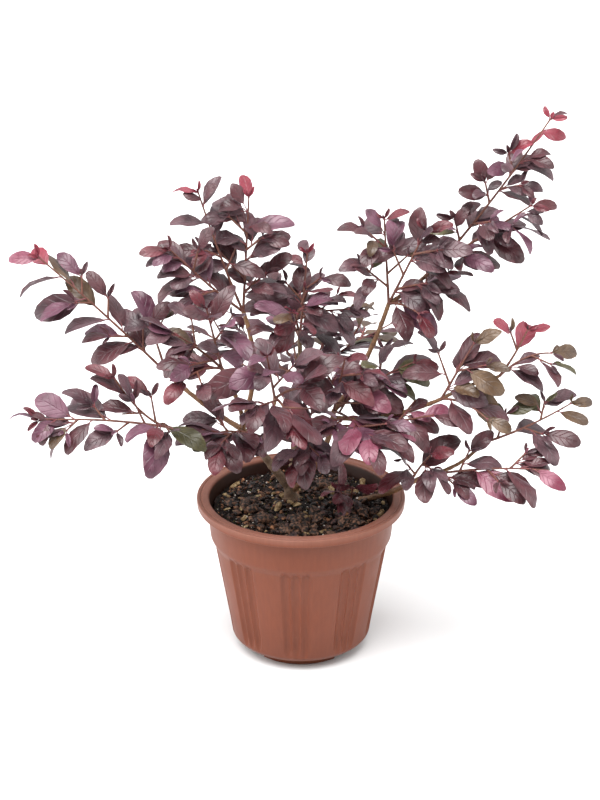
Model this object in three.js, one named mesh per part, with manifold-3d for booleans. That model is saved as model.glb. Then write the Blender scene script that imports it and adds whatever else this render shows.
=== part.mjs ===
// A purple-leaved fringe flower shrub in a plastic nursery pot, in millimetres, +Z up.
// The origin is the centre of the pot's flat underside, and -Y is the front.

import * as THREE from 'three';
import { mergeVertices } from 'three/addons/utils/BufferGeometryUtils.js';
import Module from 'manifold-3d';

const wasm = await Module();
wasm.setup();

const DEGREE = Math.PI / 180;
const UP = new THREE.Vector3(0, 0, 1);

// Driving dimensions of the pot. Its lip is a flat ring that overhangs the wall.
const POT_HEIGHT = 134;
const LIP_RADIUS = 85;
const LIP_DROP = 6.5;
const WALL_TOP_RADIUS = 76.6;
const BAND_RADIUS = 74.2;
const BAND_BOTTOM = 101;
const STEP_BOTTOM = 95;
const WALL_RADIUS_UNDER_STEP = 71.2;
const CORNER_TOP = 16;
const CORNER_RADIUS = 57.6;
const FOOT_RADIUS = 43.4;
const FOOT_HEIGHT = 6;
const WALL = 2.3;
const FLOOR_TOP = 8.6;
const FLOOR_EDGE_RADIUS = 42.5;
const LIP_ROUND = 2;

// Radius and height of two points where the wall's corner rounds in to the foot.
const CORNER_ROUND = [[49.5, 8.9], [54, 11.4]];

// Three flutes side by side make a group, and nine groups go round the wall.
const FLUTE_GROUPS = 9;
const FLUTES_IN_GROUP = 3;
const FLUTE_ANGLE = 6.9 * DEGREE;
const FLUTE_DEPTH = 1.1;
const FLUTE_TURN = -3.3 * DEGREE;
const FLUTE_ROWS = [27, 90];

// Three wide notches in the foot let water out through a round hole each.
const NOTCH_ANGLES = [-63, 57, 177];
const NOTCH_WIDTH = 26;
const NOTCH_INNER = 30;
const NOTCH_LENGTH = 30;
const DRAIN_RADIUS = 4;
const DRAIN_DISTANCE = 37;

// Clearance between pieces that meet.
const GAP = 0.3;

// The soil lies a little under the lip and is level round the foot of the shrub.
const SOIL_TOP = 126;
const SOIL_EDGE_DROP = 2.2;
const SOIL_BUMP = 0.9;
const SOIL_LEVEL_RADIUS = 20;
const SOIL_CLEAR = 0.5;

// The short trunk that all stems rise from.
const TRUNK_FOOT = [-8, 12, SOIL_TOP - 2];
const TRUNK_TOP = [-9.5, 11, SOIL_TOP + 12];
const TRUNK_RADIUS = 5.2;
const TRUNK_TAPER = 0.8;
const FLARE = 2.8;
const FLARE_LOBES = 5;

// Leaf: where along it its shoulders and the deepest point of its keel lie, how steeply its
// halves rise from the keel, and how far its tip arches down.
const LOW_SHOULDER = 0.3;
const HIGH_SHOULDER = 0.7;
const KEEL = 0.38;
const LEAF_FOLD = 0.22;
const LEAF_ARCH = 0.18;
const TWIG_RADIUS = 1.15;
const TWIG_TIP_RADIUS = 0.75;
const TIP_ROOT_DEPTH = 2.5;
const TWIG_STEP = 32;

// The rule that the masses grow by: leaf length, twig length, and the spaces between them.
const USUAL_LEAF = 35;
const USUAL_TWIG = 27;
const LEAF_SPACING = 14;
const TWIG_LEAF_SPACING = 11;
const TWIG_SPACING = 27;
const LEAF_TRIES = 4;

// The first leaf and the first side twig of a stem keep this far from the limb.
const FOOT_CLEAR = 7;

// A stem stops short of its mass's tip by this share of a leaf, which the last leaf covers.
const TIP_SHARE = 0.3;

// How leaves stand on their shoot: degrees from its direction at its foot, how many fewer at its
// tip, how far that varies, and how far a blade is rolled about its midrib.
const LEAF_SPREAD = 62;
const SPREAD_CLOSES = 20;
const SPREAD_VARIES = 14;
const TIP_VARIES = 24;
const LEAF_ROLL = 36;

// How far leaves lift off the shoot's plane and hang down, as shares of their length.
const LIFT_VARIES = 0.3;
const LEAF_DROOP = 0.12;
const DROOP_VARIES = 0.18;

// Leaves lean out from the crown's axis by the sweep, in full from some distance off it, and keep
// only a share of their rise. Blades look partly at the sky.
const USUAL_HABIT = { sweep: 0.4, level: 0.6 };
const SWEEP_FULL = 80;
const LEAF_TO_SKY = 0.6;
const CROWN_AXIS = [-5, 10];

// Leaves past this share of a shoot are young, and the last one is this much shorter.
const YOUNG_FROM = 0.65;
const YOUNG_SHORTER = 0.42;

// Side twigs: parts of their direction along the stem, sideways, towards the light and upwards.
const TWIG_FORWARD = 0.65;
const TWIG_SIDEWAYS = 0.75;
const TWIG_OUTWARD = 0.2;
const OUTWARD_VARIES = 0.35;
const TWIG_UP = 0.1;

// Each trait draws its chance with a number of its own.
const DRAW = {
  spread: 1, lift: 2, droop: 3, roll: 4, length: 5, width: 6, arch: 7,
  twigPlace: 11, twigTurn: 12, twigReach: 13,
};

// The way that most blades of a mass look.
const FRONT = [0, -0.75, 0.66];
const ABOVE = [0, -0.35, 0.94];
const REAR = [0, 0.55, 0.83];

const BARK = 0x7d5a3c;
const FOLIAGE = 0x4b3344;

// Limbs. Each is carried by another at a fraction of its length, ends at its tip, and swings
// off the straight line by its bow at half length.
const LIMBS = [
  { name: 'left_stem', on: 'trunk', at: 0.7,
    tip: [-48, -4, 195], bow: [-1, 0, 2], radius: [3.7, 2.6] },
  { name: 'right_stem', on: 'trunk', at: 0.5,
    tip: [26, -6, 210], bow: [7, -3, -3], radius: [2.7, 2.1] },
  { name: 'middle_stem', on: 'trunk', at: 0.95,
    tip: [-1, 30, 259], bow: [3, 6, 0], radius: [2.6, 1.8] },
  { name: 'back_stem', on: 'trunk', at: 0.6,
    tip: [-2, 66, 212], bow: [0, 3, -4], radius: [2.6, 1.9] },
  { name: 'right_low_stem', on: 'soil', at: 0,
    tip: [97, -30, 164], bow: [0, 1, -4], radius: [2.5, 1.7] },
  { name: 'right_upper_stem', on: 'right_stem', at: 1,
    tip: [69, 4, 298], bow: [3, 0, -3], radius: [2.1, 1.7] },
  { name: 'left_low_bough', on: 'left_stem', at: 0.86,
    tip: [-104, -42, 212], bow: [0, -2, -4], radius: [2.1, 1.5] },
  { name: 'left_far_bough', on: 'left_stem', at: 0.97,
    tip: [-108, 8, 238], bow: [0, 0, -3], radius: [2.2, 1.5] },
  { name: 'left_up_bough', on: 'left_stem', at: 1,
    tip: [-46, 18, 286], bow: [9, 2, 0], radius: [2.2, 1.6] },
  { name: 'left_mid_bough', on: 'left_stem', at: 0.94,
    tip: [-61, -48, 264], bow: [4, -4, 0], radius: [1.9, 1.4] },
  { name: 'front_bough', on: 'left_stem', at: 0.7,
    tip: [-20, -70, 248], bow: [2, -10, -3], radius: [1.9, 1.4] },
  { name: 'right_mid_bough', on: 'right_stem', at: 0.94,
    tip: [110, -30, 231], bow: [0, -3, -5], radius: [1.9, 1.5] },
  { name: 'right_up_bough', on: 'right_upper_stem', at: 1,
    tip: [108, 3, 332], bow: [0, 0, -2], radius: [1.7, 1.4] },
  { name: 'right_far_bough', on: 'right_mid_bough', at: 1,
    tip: [155, -25, 248], bow: [0, 0, 2], radius: [1.5, 1.2] },
  { name: 'right_low_bough', on: 'right_low_stem', at: 1,
    tip: [143, -30, 193], bow: [4, 0, -4], radius: [1.6, 1.2] },
];
const LIMB_STEPS = 5;
const THICK_LIMB = 2.3;
const SOIL_FEET = { right_low_stem: [46, 14, SOIL_TOP - 4], sucker: [40, 6, SOIL_TOP - 4] };

// Masses of foliage. One stem grows from a limb's tip towards the mass's own tip and rises off the
// straight line by its rise at half length. Leaves in two ranks and side twigs follow from its
// length by a seeded rule.
const MASSES = [
  { name: 'left_low_outer', on: 'left_low_bough', tip: [-213, -64, 228], rise: 3, leaf: 36, twig: 18,
    habit: { sweep: 0.15, level: 1.3 } },
  { name: 'left_low_under', on: 'left_low_bough', tip: [-116, -76, 224], rise: 4, leaf: 37, twig: 20 },
  { name: 'left_low_upper', on: 'left_low_bough', tip: [-153, -42, 263], rise: -8, leaf: 36, twig: 18 },
  { name: 'left_low_inner', on: 'left_stem', at: 0.8, tip: [-78, -40, 205], rise: 5, leaf: 41,
    twig: 20 },
  { name: 'left_far', on: 'left_far_bough', tip: [-214, 10, 343], rise: 2, leaf: 39, twig: 18 },
  { name: 'left_far_side', on: 'left_far_bough', tip: [-124, 5, 295], rise: 2, leaf: 33, twig: 18 },
  { name: 'left_top', on: 'left_up_bough', tip: [-40, 22, 391], rise: 0 },
  { name: 'left_shoulder', on: 'left_up_bough', tip: [-83, 10, 398], rise: -4, leaf: 33, twig: 18 },
  { name: 'left_middle', on: 'left_up_bough', tip: [-108, -20, 358], rise: -2 },
  { name: 'left_centre', on: 'left_mid_bough', tip: [-112, -60, 307], rise: 3 },
  { name: 'left_centre_low', on: 'left_mid_bough', tip: [-98, -92, 268], rise: 4, leaf: 41 },
  { name: 'left_centre_up', on: 'left_mid_bough', tip: [-74, -55, 326], rise: 0 },
  { name: 'centre_top', on: 'middle_stem', tip: [6, 40, 338], rise: 0, leaf: 31 },
  { name: 'centre_right', on: 'middle_stem', tip: [36, 45, 299], rise: 3 },
  { name: 'centre_left', on: 'middle_stem', tip: [-34, 62, 309], rise: 3, facing: ABOVE },
  { name: 'centre_fore', on: 'middle_stem', tip: [-8, -16, 302], rise: 5 },
  { name: 'front_upper', on: 'front_bough', tip: [-27, -94, 302], rise: 0, leaf: 39 },
  { name: 'front_mid', on: 'front_bough', tip: [15, -96, 268], rise: 4, leaf: 39 },
  { name: 'front_low', on: 'front_bough', tip: [-3, -116, 234], rise: 6, leaf: 41 },
  { name: 'front_left', on: 'left_stem', at: 0.92, tip: [-66, -74, 208], rise: 5, leaf: 39 },
  { name: 'front_hang', on: 'right_stem', at: 0.75, tip: [-12, -66, 188], rise: 8, leaf: 39 },
  { name: 'front_right', on: 'right_stem', tip: [60, -80, 208], rise: 6, leaf: 41 },
  { name: 'right_inner', on: 'right_stem', tip: [35, -50, 280], rise: 0 },
  { name: 'right_heart', on: 'right_stem', tip: [98, -15, 262], rise: 4 },
  { name: 'right_low_inner', on: 'right_stem', at: 0.85, tip: [113, -52, 228], rise: -2 },
  { name: 'right_cluster', on: 'right_upper_stem', tip: [64, 12, 376], rise: 0, leaf: 32 },
  { name: 'right_cluster_side', on: 'right_upper_stem', tip: [100, -20, 376], rise: 0, leaf: 39 },
  { name: 'right_fork_low', on: 'right_upper_stem', tip: [98, -35, 301], rise: 3, twig: 20 },
  { name: 'right_top_low', on: 'right_upper_stem', tip: [124, -10, 334], rise: -4, twig: 20 },
  { name: 'right_top', on: 'right_up_bough', tip: [195, 5, 455], rise: -4, leaf: 29, twig: 18 },
  { name: 'right_top_side', on: 'right_up_bough', tip: [185, -12, 390], rise: 0, leaf: 35, twig: 14 },
  { name: 'right_mid', on: 'right_mid_bough', tip: [139, -35, 290], rise: 0 },
  { name: 'right_mid_low', on: 'right_mid_bough', tip: [154, -57, 220], rise: 5, twig: 20 },
  { name: 'right_far', on: 'right_far_bough', tip: [206, -20, 270], rise: 6, twig: 20 },
  { name: 'right_far_up', on: 'right_far_bough', tip: [182, -15, 293], rise: -3, leaf: 31, twig: 18 },
  { name: 'right_low_rise', on: 'right_low_stem', at: 0.8, tip: [105, -55, 200], rise: 2, twig: 20 },
  { name: 'right_low_front', on: 'right_low_stem', tip: [202, -72, 189], rise: 4, twig: 20 },
  { name: 'right_low_outer', on: 'right_low_bough', tip: [223, -30, 233], rise: -3, leaf: 38, twig: 18 },
  { name: 'back_left', on: 'back_stem', tip: [-96, 112, 238], rise: 0, twig: 34, facing: REAR },
  { name: 'back_middle', on: 'back_stem', tip: [-12, 142, 258], rise: -4, twig: 34, facing: REAR },
  { name: 'back_right', on: 'back_stem', tip: [86, 118, 244], rise: 0, twig: 34, facing: REAR },
  { name: 'sucker', on: 'soil', tip: [43, -8, 150], rise: 0, twig: 17, leaf: 27 },
];

// A number from 0 to 1 that depends only on three whole numbers.
function chance(a, b, c) {
  const wave = Math.sin(a * 12.9898 + b * 78.233 + c * 37.719) * 43758.5453;
  return wave - Math.floor(wave);
}

// The same number spread evenly from -spread to +spread.
function jitter(spread, a, b, c) {
  return spread * (2 * chance(a, b, c) - 1);
}

function vector(xyz) {
  return new THREE.Vector3(...xyz);
}

// Closed mesh arrays to a solid, and back to a geometry.
function solidFromArrays(positions, triangles) {
  return new wasm.Manifold(new wasm.Mesh({
    numProp: 3,
    vertProperties: new Float32Array(positions),
    triVerts: new Uint32Array(triangles),
  }));
}

function solidFromGeometry(geometry) {
  geometry.deleteAttribute('normal');
  geometry.deleteAttribute('uv');
  const merged = mergeVertices(geometry, 1e-4);
  const triangles = [];
  const index = merged.index.array;
  for (let i = 0; i < index.length; i += 3) {
    const [a, b, c] = index.slice(i, i + 3);
    if (a !== b && b !== c && c !== a) triangles.push(a, b, c);
  }
  return solidFromArrays(merged.attributes.position.array, triangles);
}

function geometryFromSolid(solid) {
  const mesh = solid.getMesh();
  const geometry = new THREE.BufferGeometry();
  geometry.setAttribute('position', new THREE.BufferAttribute(mesh.vertProperties, 3));
  geometry.setIndex(new THREE.BufferAttribute(mesh.triVerts, 1));
  geometry.computeVertexNormals();
  return geometry;
}

function largestPiece(solid) {
  const pieces = solid.decompose();
  return pieces.reduce((best, piece) => (piece.volume() > best.volume() ? piece : best));
}

// A curve from start to tip that passes its bow off the straight line at half length.
function bowedCurve(start, tip, bow) {
  const control = start.clone().add(tip).multiplyScalar(0.5).addScaledVector(bow, 2);
  return new THREE.QuadraticBezierCurve3(start, control, tip);
}

// A closed tapering tube along a curve. Growth widens each face and lengthens both ends.
function tube(curve, radiusAt, sides, steps, growth = 0) {
  const chord = curve.getPoint(1).sub(curve.getPoint(0));
  const steady = Math.abs(chord.z) > 0.8 * chord.length() ? new THREE.Vector3(0, 1, 0) : UP;
  const extra = growth / Math.cos(Math.PI / sides);
  const positions = [];
  for (let step = 0; step <= steps; step++) {
    const f = step / steps;
    const tangent = curve.getTangent(f);
    const across = tangent.clone().cross(steady).normalize();
    const over = across.clone().cross(tangent);
    const centre = curve.getPoint(f);
    if (step === 0) centre.addScaledVector(tangent, -growth);
    if (step === steps) centre.addScaledVector(tangent, growth);
    for (let side = 0; side < sides; side++) {
      const angle = (side / sides) * 2 * Math.PI;
      const radius = radiusAt(f, angle) + extra;
      const point = centre.clone()
        .addScaledVector(across, radius * Math.cos(angle))
        .addScaledVector(over, radius * Math.sin(angle));
      positions.push(point.x, point.y, point.z);
    }
  }
  const triangles = [];
  for (let step = 0; step < steps; step++) {
    for (let side = 0; side < sides; side++) {
      const next = (side + 1) % sides;
      const a = step * sides + side;
      const b = step * sides + next;
      const c = a + sides;
      const d = b + sides;
      triangles.push(a, d, b, a, c, d);
    }
  }
  const last = steps * sides;
  for (let side = 1; side < sides - 1; side++) {
    triangles.push(0, side, side + 1, last, last + side + 1, last + side);
  }
  return solidFromArrays(positions, triangles);
}

// A leaf: an outline with two shoulders a side, arched down to its tip. Its halves rise from a
// keel along the midrib, and the hollow between them is filled, so its root is a firm wedge.
// Growth makes every side of it reach further.
function leafSolid(leaf, growth = 0) {
  const side = leaf.normal.clone().cross(leaf.along).normalize();
  const stretch = 1 + (2 * growth) / leaf.width;
  const low = 0.46 * leaf.width;
  const high = 0.45 * leaf.width;
  const keel = -(leaf.width / 2) * LEAF_FOLD - 2 * growth;
  const at = (f, halfWidth, rise) => leaf.root.clone()
    .addScaledVector(leaf.along, leaf.length * f + growth * (2 * f - 1))
    .addScaledVector(side, halfWidth * stretch)
    .addScaledVector(leaf.normal, rise + growth - leaf.arch * leaf.length * f * f);
  const corners = [
    at(0, 0, 0), at(LOW_SHOULDER, -low, 0), at(HIGH_SHOULDER, -high, 0),
    at(1, 0, 0), at(HIGH_SHOULDER, high, 0), at(LOW_SHOULDER, low, 0), at(KEEL, 0, keel),
  ];
  const triangles = [0, 1, 5, 1, 2, 5, 5, 2, 4, 2, 3, 4];
  for (let corner = 0; corner < 6; corner++) {
    triangles.push((corner + 1) % 6, corner, 6);
  }
  return solidFromArrays(corners.flatMap((point) => point.toArray()), triangles);
}

// A fatter copy of a leaf, for keeping others clear of it: one raised and one lowered together.
function fatLeaf(leaf) {
  const raised = leafSolid(leaf, GAP);
  return raised.add(raised.translate(leaf.normal.clone().multiplyScalar(-2 * GAP).toArray()));
}

// Radius of the pot's wall at a height, without its flutes.
function wallRadius(z) {
  const knots = [
    [CORNER_TOP, CORNER_RADIUS], [STEP_BOTTOM, WALL_RADIUS_UNDER_STEP],
    [BAND_BOTTOM, BAND_RADIUS], [POT_HEIGHT - LIP_DROP, WALL_TOP_RADIUS],
  ];
  const upper = Math.max(1, knots.findIndex(([height]) => height >= z));
  const [z0, r0] = knots[upper - 1];
  const [z1, r1] = knots[upper];
  return r0 + ((r1 - r0) * (z - z0)) / (z1 - z0);
}

// The columns of the pot's wall: edges and middles of the flutes, and one on each plain panel.
function wallColumns() {
  const group = (2 * Math.PI) / FLUTE_GROUPS;
  const fluted = FLUTES_IN_GROUP * FLUTE_ANGLE;
  const columns = [];
  for (let g = 0; g < FLUTE_GROUPS; g++) {
    const start = g * group - fluted / 2 + FLUTE_TURN;
    for (let half = 0; half <= 2 * FLUTES_IN_GROUP; half++) {
      columns.push({ angle: start + (half * FLUTE_ANGLE) / 2, hollow: half % 2 });
    }
    columns.push({ angle: start + (fluted + group) / 2, hollow: 0 });
  }
  return columns;
}

// A solid of revolution about Z from an outline of radii and heights.
function latheSolid(outline, columns) {
  const geometry = new THREE.LatheGeometry(outline.map(([r, z]) => new THREE.Vector2(r, z)), columns);
  return solidFromGeometry(geometry.rotateX(Math.PI / 2));
}

// The pot is a lathe shape whose columns are moved to the flutes' edges and pushed in between,
// with a plain hollow taken out of it.
function potSolid() {
  const lipBottom = POT_HEIGHT - LIP_DROP;
  const outline = [
    [0, 0], [FOOT_RADIUS, 0], [FOOT_RADIUS + 0.8, FOOT_HEIGHT],
    ...CORNER_ROUND,
    [CORNER_RADIUS, CORNER_TOP], ...FLUTE_ROWS.map((z) => [wallRadius(z), z]),
    [WALL_RADIUS_UNDER_STEP, STEP_BOTTOM], [BAND_RADIUS, BAND_BOTTOM],
    [WALL_TOP_RADIUS, lipBottom + 0.4], [LIP_RADIUS - 1, lipBottom],
    [LIP_RADIUS, lipBottom + 1.5], [LIP_RADIUS, POT_HEIGHT - LIP_ROUND],
    [LIP_RADIUS - LIP_ROUND, POT_HEIGHT], [0, POT_HEIGHT],
  ];
  const columns = wallColumns();
  const profile = outline.map(([r, z]) => new THREE.Vector2(r, z));
  const geometry = new THREE.LatheGeometry(profile, columns.length);
  const position = geometry.attributes.position;
  for (let i = 0; i < position.count; i++) {
    const column = columns[Math.floor(i / outline.length) % columns.length];
    const [radius, z] = outline[i % outline.length];
    const r = radius - (FLUTE_ROWS.includes(z) ? column.hollow * FLUTE_DEPTH : 0);
    position.setXYZ(i, r * Math.sin(column.angle), -r * Math.cos(column.angle), z);
  }
  const inner = WALL_TOP_RADIUS - WALL;
  const above = POT_HEIGHT + 0.5;
  let pot = solidFromGeometry(geometry).subtract(latheSolid([
    [0, FLOOR_TOP], [FLOOR_EDGE_RADIUS, FLOOR_TOP], [CORNER_RADIUS - WALL, CORNER_TOP],
    [inner, POT_HEIGHT - LIP_ROUND], [inner + LIP_ROUND, above], [0, above],
  ], 40));
  for (const angle of NOTCH_ANGLES) {
    const notch = new THREE.BoxGeometry(NOTCH_WIDTH, NOTCH_LENGTH, 2 * FOOT_HEIGHT);
    notch.translate(0, -(NOTCH_INNER + NOTCH_LENGTH / 2), 0);
    const drain = new THREE.CylinderGeometry(DRAIN_RADIUS, DRAIN_RADIUS, 4 * FLOOR_TOP, 10);
    drain.rotateX(Math.PI / 2);
    drain.translate(0, -DRAIN_DISTANCE, 0);
    for (const cutter of [notch, drain]) {
      cutter.rotateZ(angle * DEGREE);
      pot = pot.subtract(solidFromGeometry(cutter));
    }
  }
  return pot;
}

// Height of the soil: level round the shrub, lower and bumpy towards the wall.
function soilHeight(x, y) {
  const away = Math.hypot(x - TRUNK_FOOT[0], y - TRUNK_FOOT[1]) - SOIL_LEVEL_RADIUS;
  if (away <= 0) return SOIL_TOP;
  const fall = SOIL_EDGE_DROP * Math.min(1, away / 40);
  const bump = SOIL_BUMP * (Math.sin(x * 0.31 + 1) * Math.sin(y * 0.37) - 1) * Math.min(1, away / 15);
  return SOIL_TOP - fall + bump;
}

// The soil fills the pot. Its side keeps clear of the pot's inner wall.
function soilSolid() {
  const inner = WALL_TOP_RADIUS - WALL;
  const bottom = CORNER_RADIUS - WALL;
  const slope = (inner - bottom) / (POT_HEIGHT - LIP_ROUND - CORNER_TOP);
  const edge = bottom + slope * (SOIL_TOP - 3 - CORNER_TOP) - SOIL_CLEAR;
  const outline = [
    [0, FLOOR_TOP + GAP], [FLOOR_EDGE_RADIUS - SOIL_CLEAR, FLOOR_TOP + GAP],
    [bottom - SOIL_CLEAR, CORNER_TOP + GAP],
    ...[1, 0.86, 0.7, 0.53, 0.36, 0.18, 0].map((share) => [share * edge, 0]),
  ];
  const profile = outline.map(([r, z]) => new THREE.Vector2(r, z));
  const geometry = new THREE.LatheGeometry(profile, 26);
  const position = geometry.attributes.position;
  for (let i = 0; i < position.count; i++) {
    const onTop = i % outline.length >= 3;
    const x = position.getX(i);
    const y = position.getZ(i);
    position.setXYZ(i, x, -y, onTop ? soilHeight(x, -y) : position.getY(i));
  }
  return solidFromGeometry(geometry);
}

// The trunk flares into low lobes where its roots leave it.
function trunkRadius(f, angle) {
  const flare = FLARE * Math.exp(-5 * f) * (1 + 0.3 * Math.cos(FLARE_LOBES * angle + 1));
  return TRUNK_RADIUS - TRUNK_TAPER * f + flare;
}

// The trunk and the limbs, each cut clear of those before it. Fat copies are wider by the gap.
function limbSolids(soil) {
  const raisedSoil = soil.translate([0, 0, GAP]);
  const trunkCurve = new THREE.LineCurve3(vector(TRUNK_FOOT), vector(TRUNK_TOP));
  const built = new Map();
  built.set('trunk', {
    curve: trunkCurve,
    solid: tube(trunkCurve, trunkRadius, 16, 4).subtract(raisedSoil),
    fat: tube(trunkCurve, trunkRadius, 16, 4, GAP),
  });
  for (const limb of LIMBS) {
    const carrier = built.get(limb.on);
    const start = carrier ? carrier.curve.getPoint(limb.at) : vector(SOIL_FEET[limb.name]);
    const curve = bowedCurve(start, vector(limb.tip), vector(limb.bow));
    const [thick, thin] = limb.radius;
    const radiusAt = (f) => thick + (thin - thick) * f;
    const sides = thick > THICK_LIMB ? 8 : 6;
    let solid = tube(curve, radiusAt, sides, LIMB_STEPS);
    if (!carrier) solid = solid.subtract(raisedSoil);
    for (const earlier of built.values()) solid = solid.subtract(earlier.fat);
    solid = largestPiece(solid);
    built.set(limb.name, { curve, solid, fat: tube(curve, radiusAt, sides, LIMB_STEPS, GAP) });
  }
  return built;
}

// A leaf's direction, led away from the crown's axis by its habit's sweep and with its rise kept to
// the habit's level.
function lean(direction, root, habit) {
  const away = new THREE.Vector3(root.x - CROWN_AXIS[0], root.y - CROWN_AXIS[1], 0);
  const led = direction.clone().addScaledVector(away, habit.sweep / Math.max(SWEEP_FULL, away.length()));
  led.z *= habit.level;
  return led;
}

// One leaf of a shoot. Leaves stand in two ranks, and the last one ends the shoot. Each further
// try turns the same leaf another way.
function shootLeaf(shoot, i, attempt, facing, habit) {
  const { curve, count, bare, size } = shoot;
  const last = i === count - 1;
  const f = last ? 1 - TIP_ROOT_DEPTH / curve.getLength() : bare + ((1 - bare) * i) / (count - 1);
  const seed = shoot.seed + 1000 * attempt;
  const tangent = curve.getTangent(f);
  const across = facing.clone().cross(tangent).normalize();
  const outward = tangent.clone().cross(across);
  const rank = (i + shoot.seed) % 2 ? 1 : -1;
  const open = LEAF_SPREAD - SPREAD_CLOSES * f + jitter(SPREAD_VARIES, seed, i, DRAW.spread);
  const spread = last ? jitter(TIP_VARIES, seed, i, DRAW.spread) : rank * open;
  const root = curve.getPoint(f);
  const opened = tangent.clone().multiplyScalar(Math.cos(spread * DEGREE))
    .addScaledVector(across, Math.sin(spread * DEGREE))
    .addScaledVector(outward, jitter(LIFT_VARIES, seed, i, DRAW.lift));
  const droop = LEAF_DROOP + jitter(DROOP_VARIES, seed, i, DRAW.droop);
  const along = lean(opened, root, habit).addScaledVector(UP, -droop).normalize();
  const roll = jitter(LEAF_ROLL, seed, i, DRAW.roll) * DEGREE;
  const light = outward.clone().multiplyScalar(1 - LEAF_TO_SKY).addScaledVector(UP, LEAF_TO_SKY);
  const flat = light.clone().addScaledVector(along, -light.dot(along)).normalize();
  const normal = flat.clone().multiplyScalar(Math.cos(roll))
    .addScaledVector(along.clone().cross(flat), Math.sin(roll));
  const young = Math.max(0, f - YOUNG_FROM) / (1 - YOUNG_FROM);
  const length = size * (0.86 + 0.3 * chance(seed, i, DRAW.length)) * (1 - YOUNG_SHORTER * young);
  const width = length * (0.46 + 0.14 * chance(seed, i, DRAW.width));
  const arch = LEAF_ARCH * (0.4 + 1.2 * chance(seed, i, DRAW.arch));
  return { root, along, normal, length, width, arch };
}

// The stem of a mass and its side twigs, which leave it to both sides in turn and get shorter
// towards its tip.
function massShoots(mass, stem, facing, number) {
  const size = mass.leaf ?? USUAL_LEAF;
  const length = stem.getLength();
  const seed = 10 * number;
  const shoots = [{
    curve: stem,
    count: Math.max(3, Math.round(length / LEAF_SPACING)),
    bare: Math.max(0.16, FOOT_CLEAR / length),
    size,
    seed,
  }];
  const twigs = Math.max(1, Math.round(length / TWIG_SPACING));
  for (let i = 0; i < twigs; i++) {
    const place = 0.12 + (0.66 * (i + 0.6 * chance(seed, i, DRAW.twigPlace))) / twigs;
    const f = Math.max(place, FOOT_CLEAR / length);
    const tangent = stem.getTangent(f);
    const across = facing.clone().cross(tangent).normalize();
    const outward = tangent.clone().cross(across);
    const rank = (i + number) % 2 ? -1 : 1;
    const direction = tangent.clone().multiplyScalar(TWIG_FORWARD)
      .addScaledVector(across, rank * TWIG_SIDEWAYS)
      .addScaledVector(outward, TWIG_OUTWARD + jitter(OUTWARD_VARIES, seed, i, DRAW.twigTurn))
      .addScaledVector(UP, TWIG_UP)
      .normalize();
    const vigour = 0.85 + 0.3 * chance(seed, i, DRAW.twigReach);
    const reach = (mass.twig ?? USUAL_TWIG) * (1.15 - 0.5 * f) * vigour;
    const start = stem.getPoint(f);
    const tip = start.clone().addScaledVector(direction, reach);
    shoots.push({
      curve: new THREE.LineCurve3(start, tip),
      count: Math.max(2, Math.round(reach / TWIG_LEAF_SPACING)),
      bare: 0.3,
      size: 0.93 * size,
      seed: seed + i + 1,
    });
  }
  return shoots;
}

function twigRadius(f) {
  return TWIG_RADIUS + (TWIG_TIP_RADIUS - TWIG_RADIUS) * f;
}

// Side twigs are straight. Stems are bowed, so they take at least three steps.
function twigSolid(curve, growth = 0) {
  const steps = curve.isLineCurve3 ? 1 : Math.max(3, Math.round(curve.getLength() / TWIG_STEP));
  return tube(curve, twigRadius, 3, steps, growth);
}

function boxesMeet(a, b) {
  return [0, 1, 2].every((k) => a.min[k] < b.max[k] && b.min[k] < a.max[k]);
}

// Everything placed so far, so that later twigs and leaves can keep clear of it.
class Space {
  constructor() {
    this.taken = [];
  }

  add(key, solid) {
    this.taken.push({ key, solid, box: solid.boundingBox() });
  }

  // A twig or leaf may meet only the shoot that it grows on.
  isFree(ownShoot, solid) {
    const box = solid.boundingBox();
    return this.taken.every((other) => other.key === ownShoot || !boxesMeet(box, other.box)
      || solid.intersect(other.solid).isEmpty());
  }
}

// One mass: its stem, the side twigs that find room, and the leaves that find room. Where a stem
// was cut short by another one, the twigs and leaves of the part that is lost are left out too.
function foliageSolid(name, shoots, facing, habit, stemSolid, space) {
  const parts = [stemSolid];
  const grown = shoots.filter((shoot, i) => {
    shoot.key = i === 0 ? name : `${name} ${i}`;
    shoot.solid = i === 0 ? stemSolid : twigSolid(shoot.curve);
    if (i === 0) return true;
    if (shoot.solid.intersect(stemSolid).isEmpty()) return false;
    if (!space.isFree(name, twigSolid(shoot.curve, GAP))) return false;
    space.add(shoot.key, shoot.solid);
    parts.push(shoot.solid);
    return true;
  });
  for (const shoot of grown) {
    for (let i = 0; i < shoot.count; i++) {
      for (let attempt = 0; attempt < LEAF_TRIES; attempt++) {
        const leaf = shootLeaf(shoot, i, attempt, facing, habit);
        const solid = leafSolid(leaf);
        if (solid.intersect(shoot.solid).isEmpty()) continue;
        if (!space.isFree(shoot.key, fatLeaf(leaf))) continue;
        space.add('leaf', solid);
        parts.push(solid);
        break;
      }
    }
  }
  return largestPiece(wasm.Manifold.union(parts));
}

function namedMesh(name, solid, colour, roughness) {
  const material = new THREE.MeshStandardMaterial({ color: colour, roughness, metalness: 0 });
  const mesh = new THREE.Mesh(geometryFromSolid(solid), material);
  mesh.name = name;
  return mesh;
}

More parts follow.
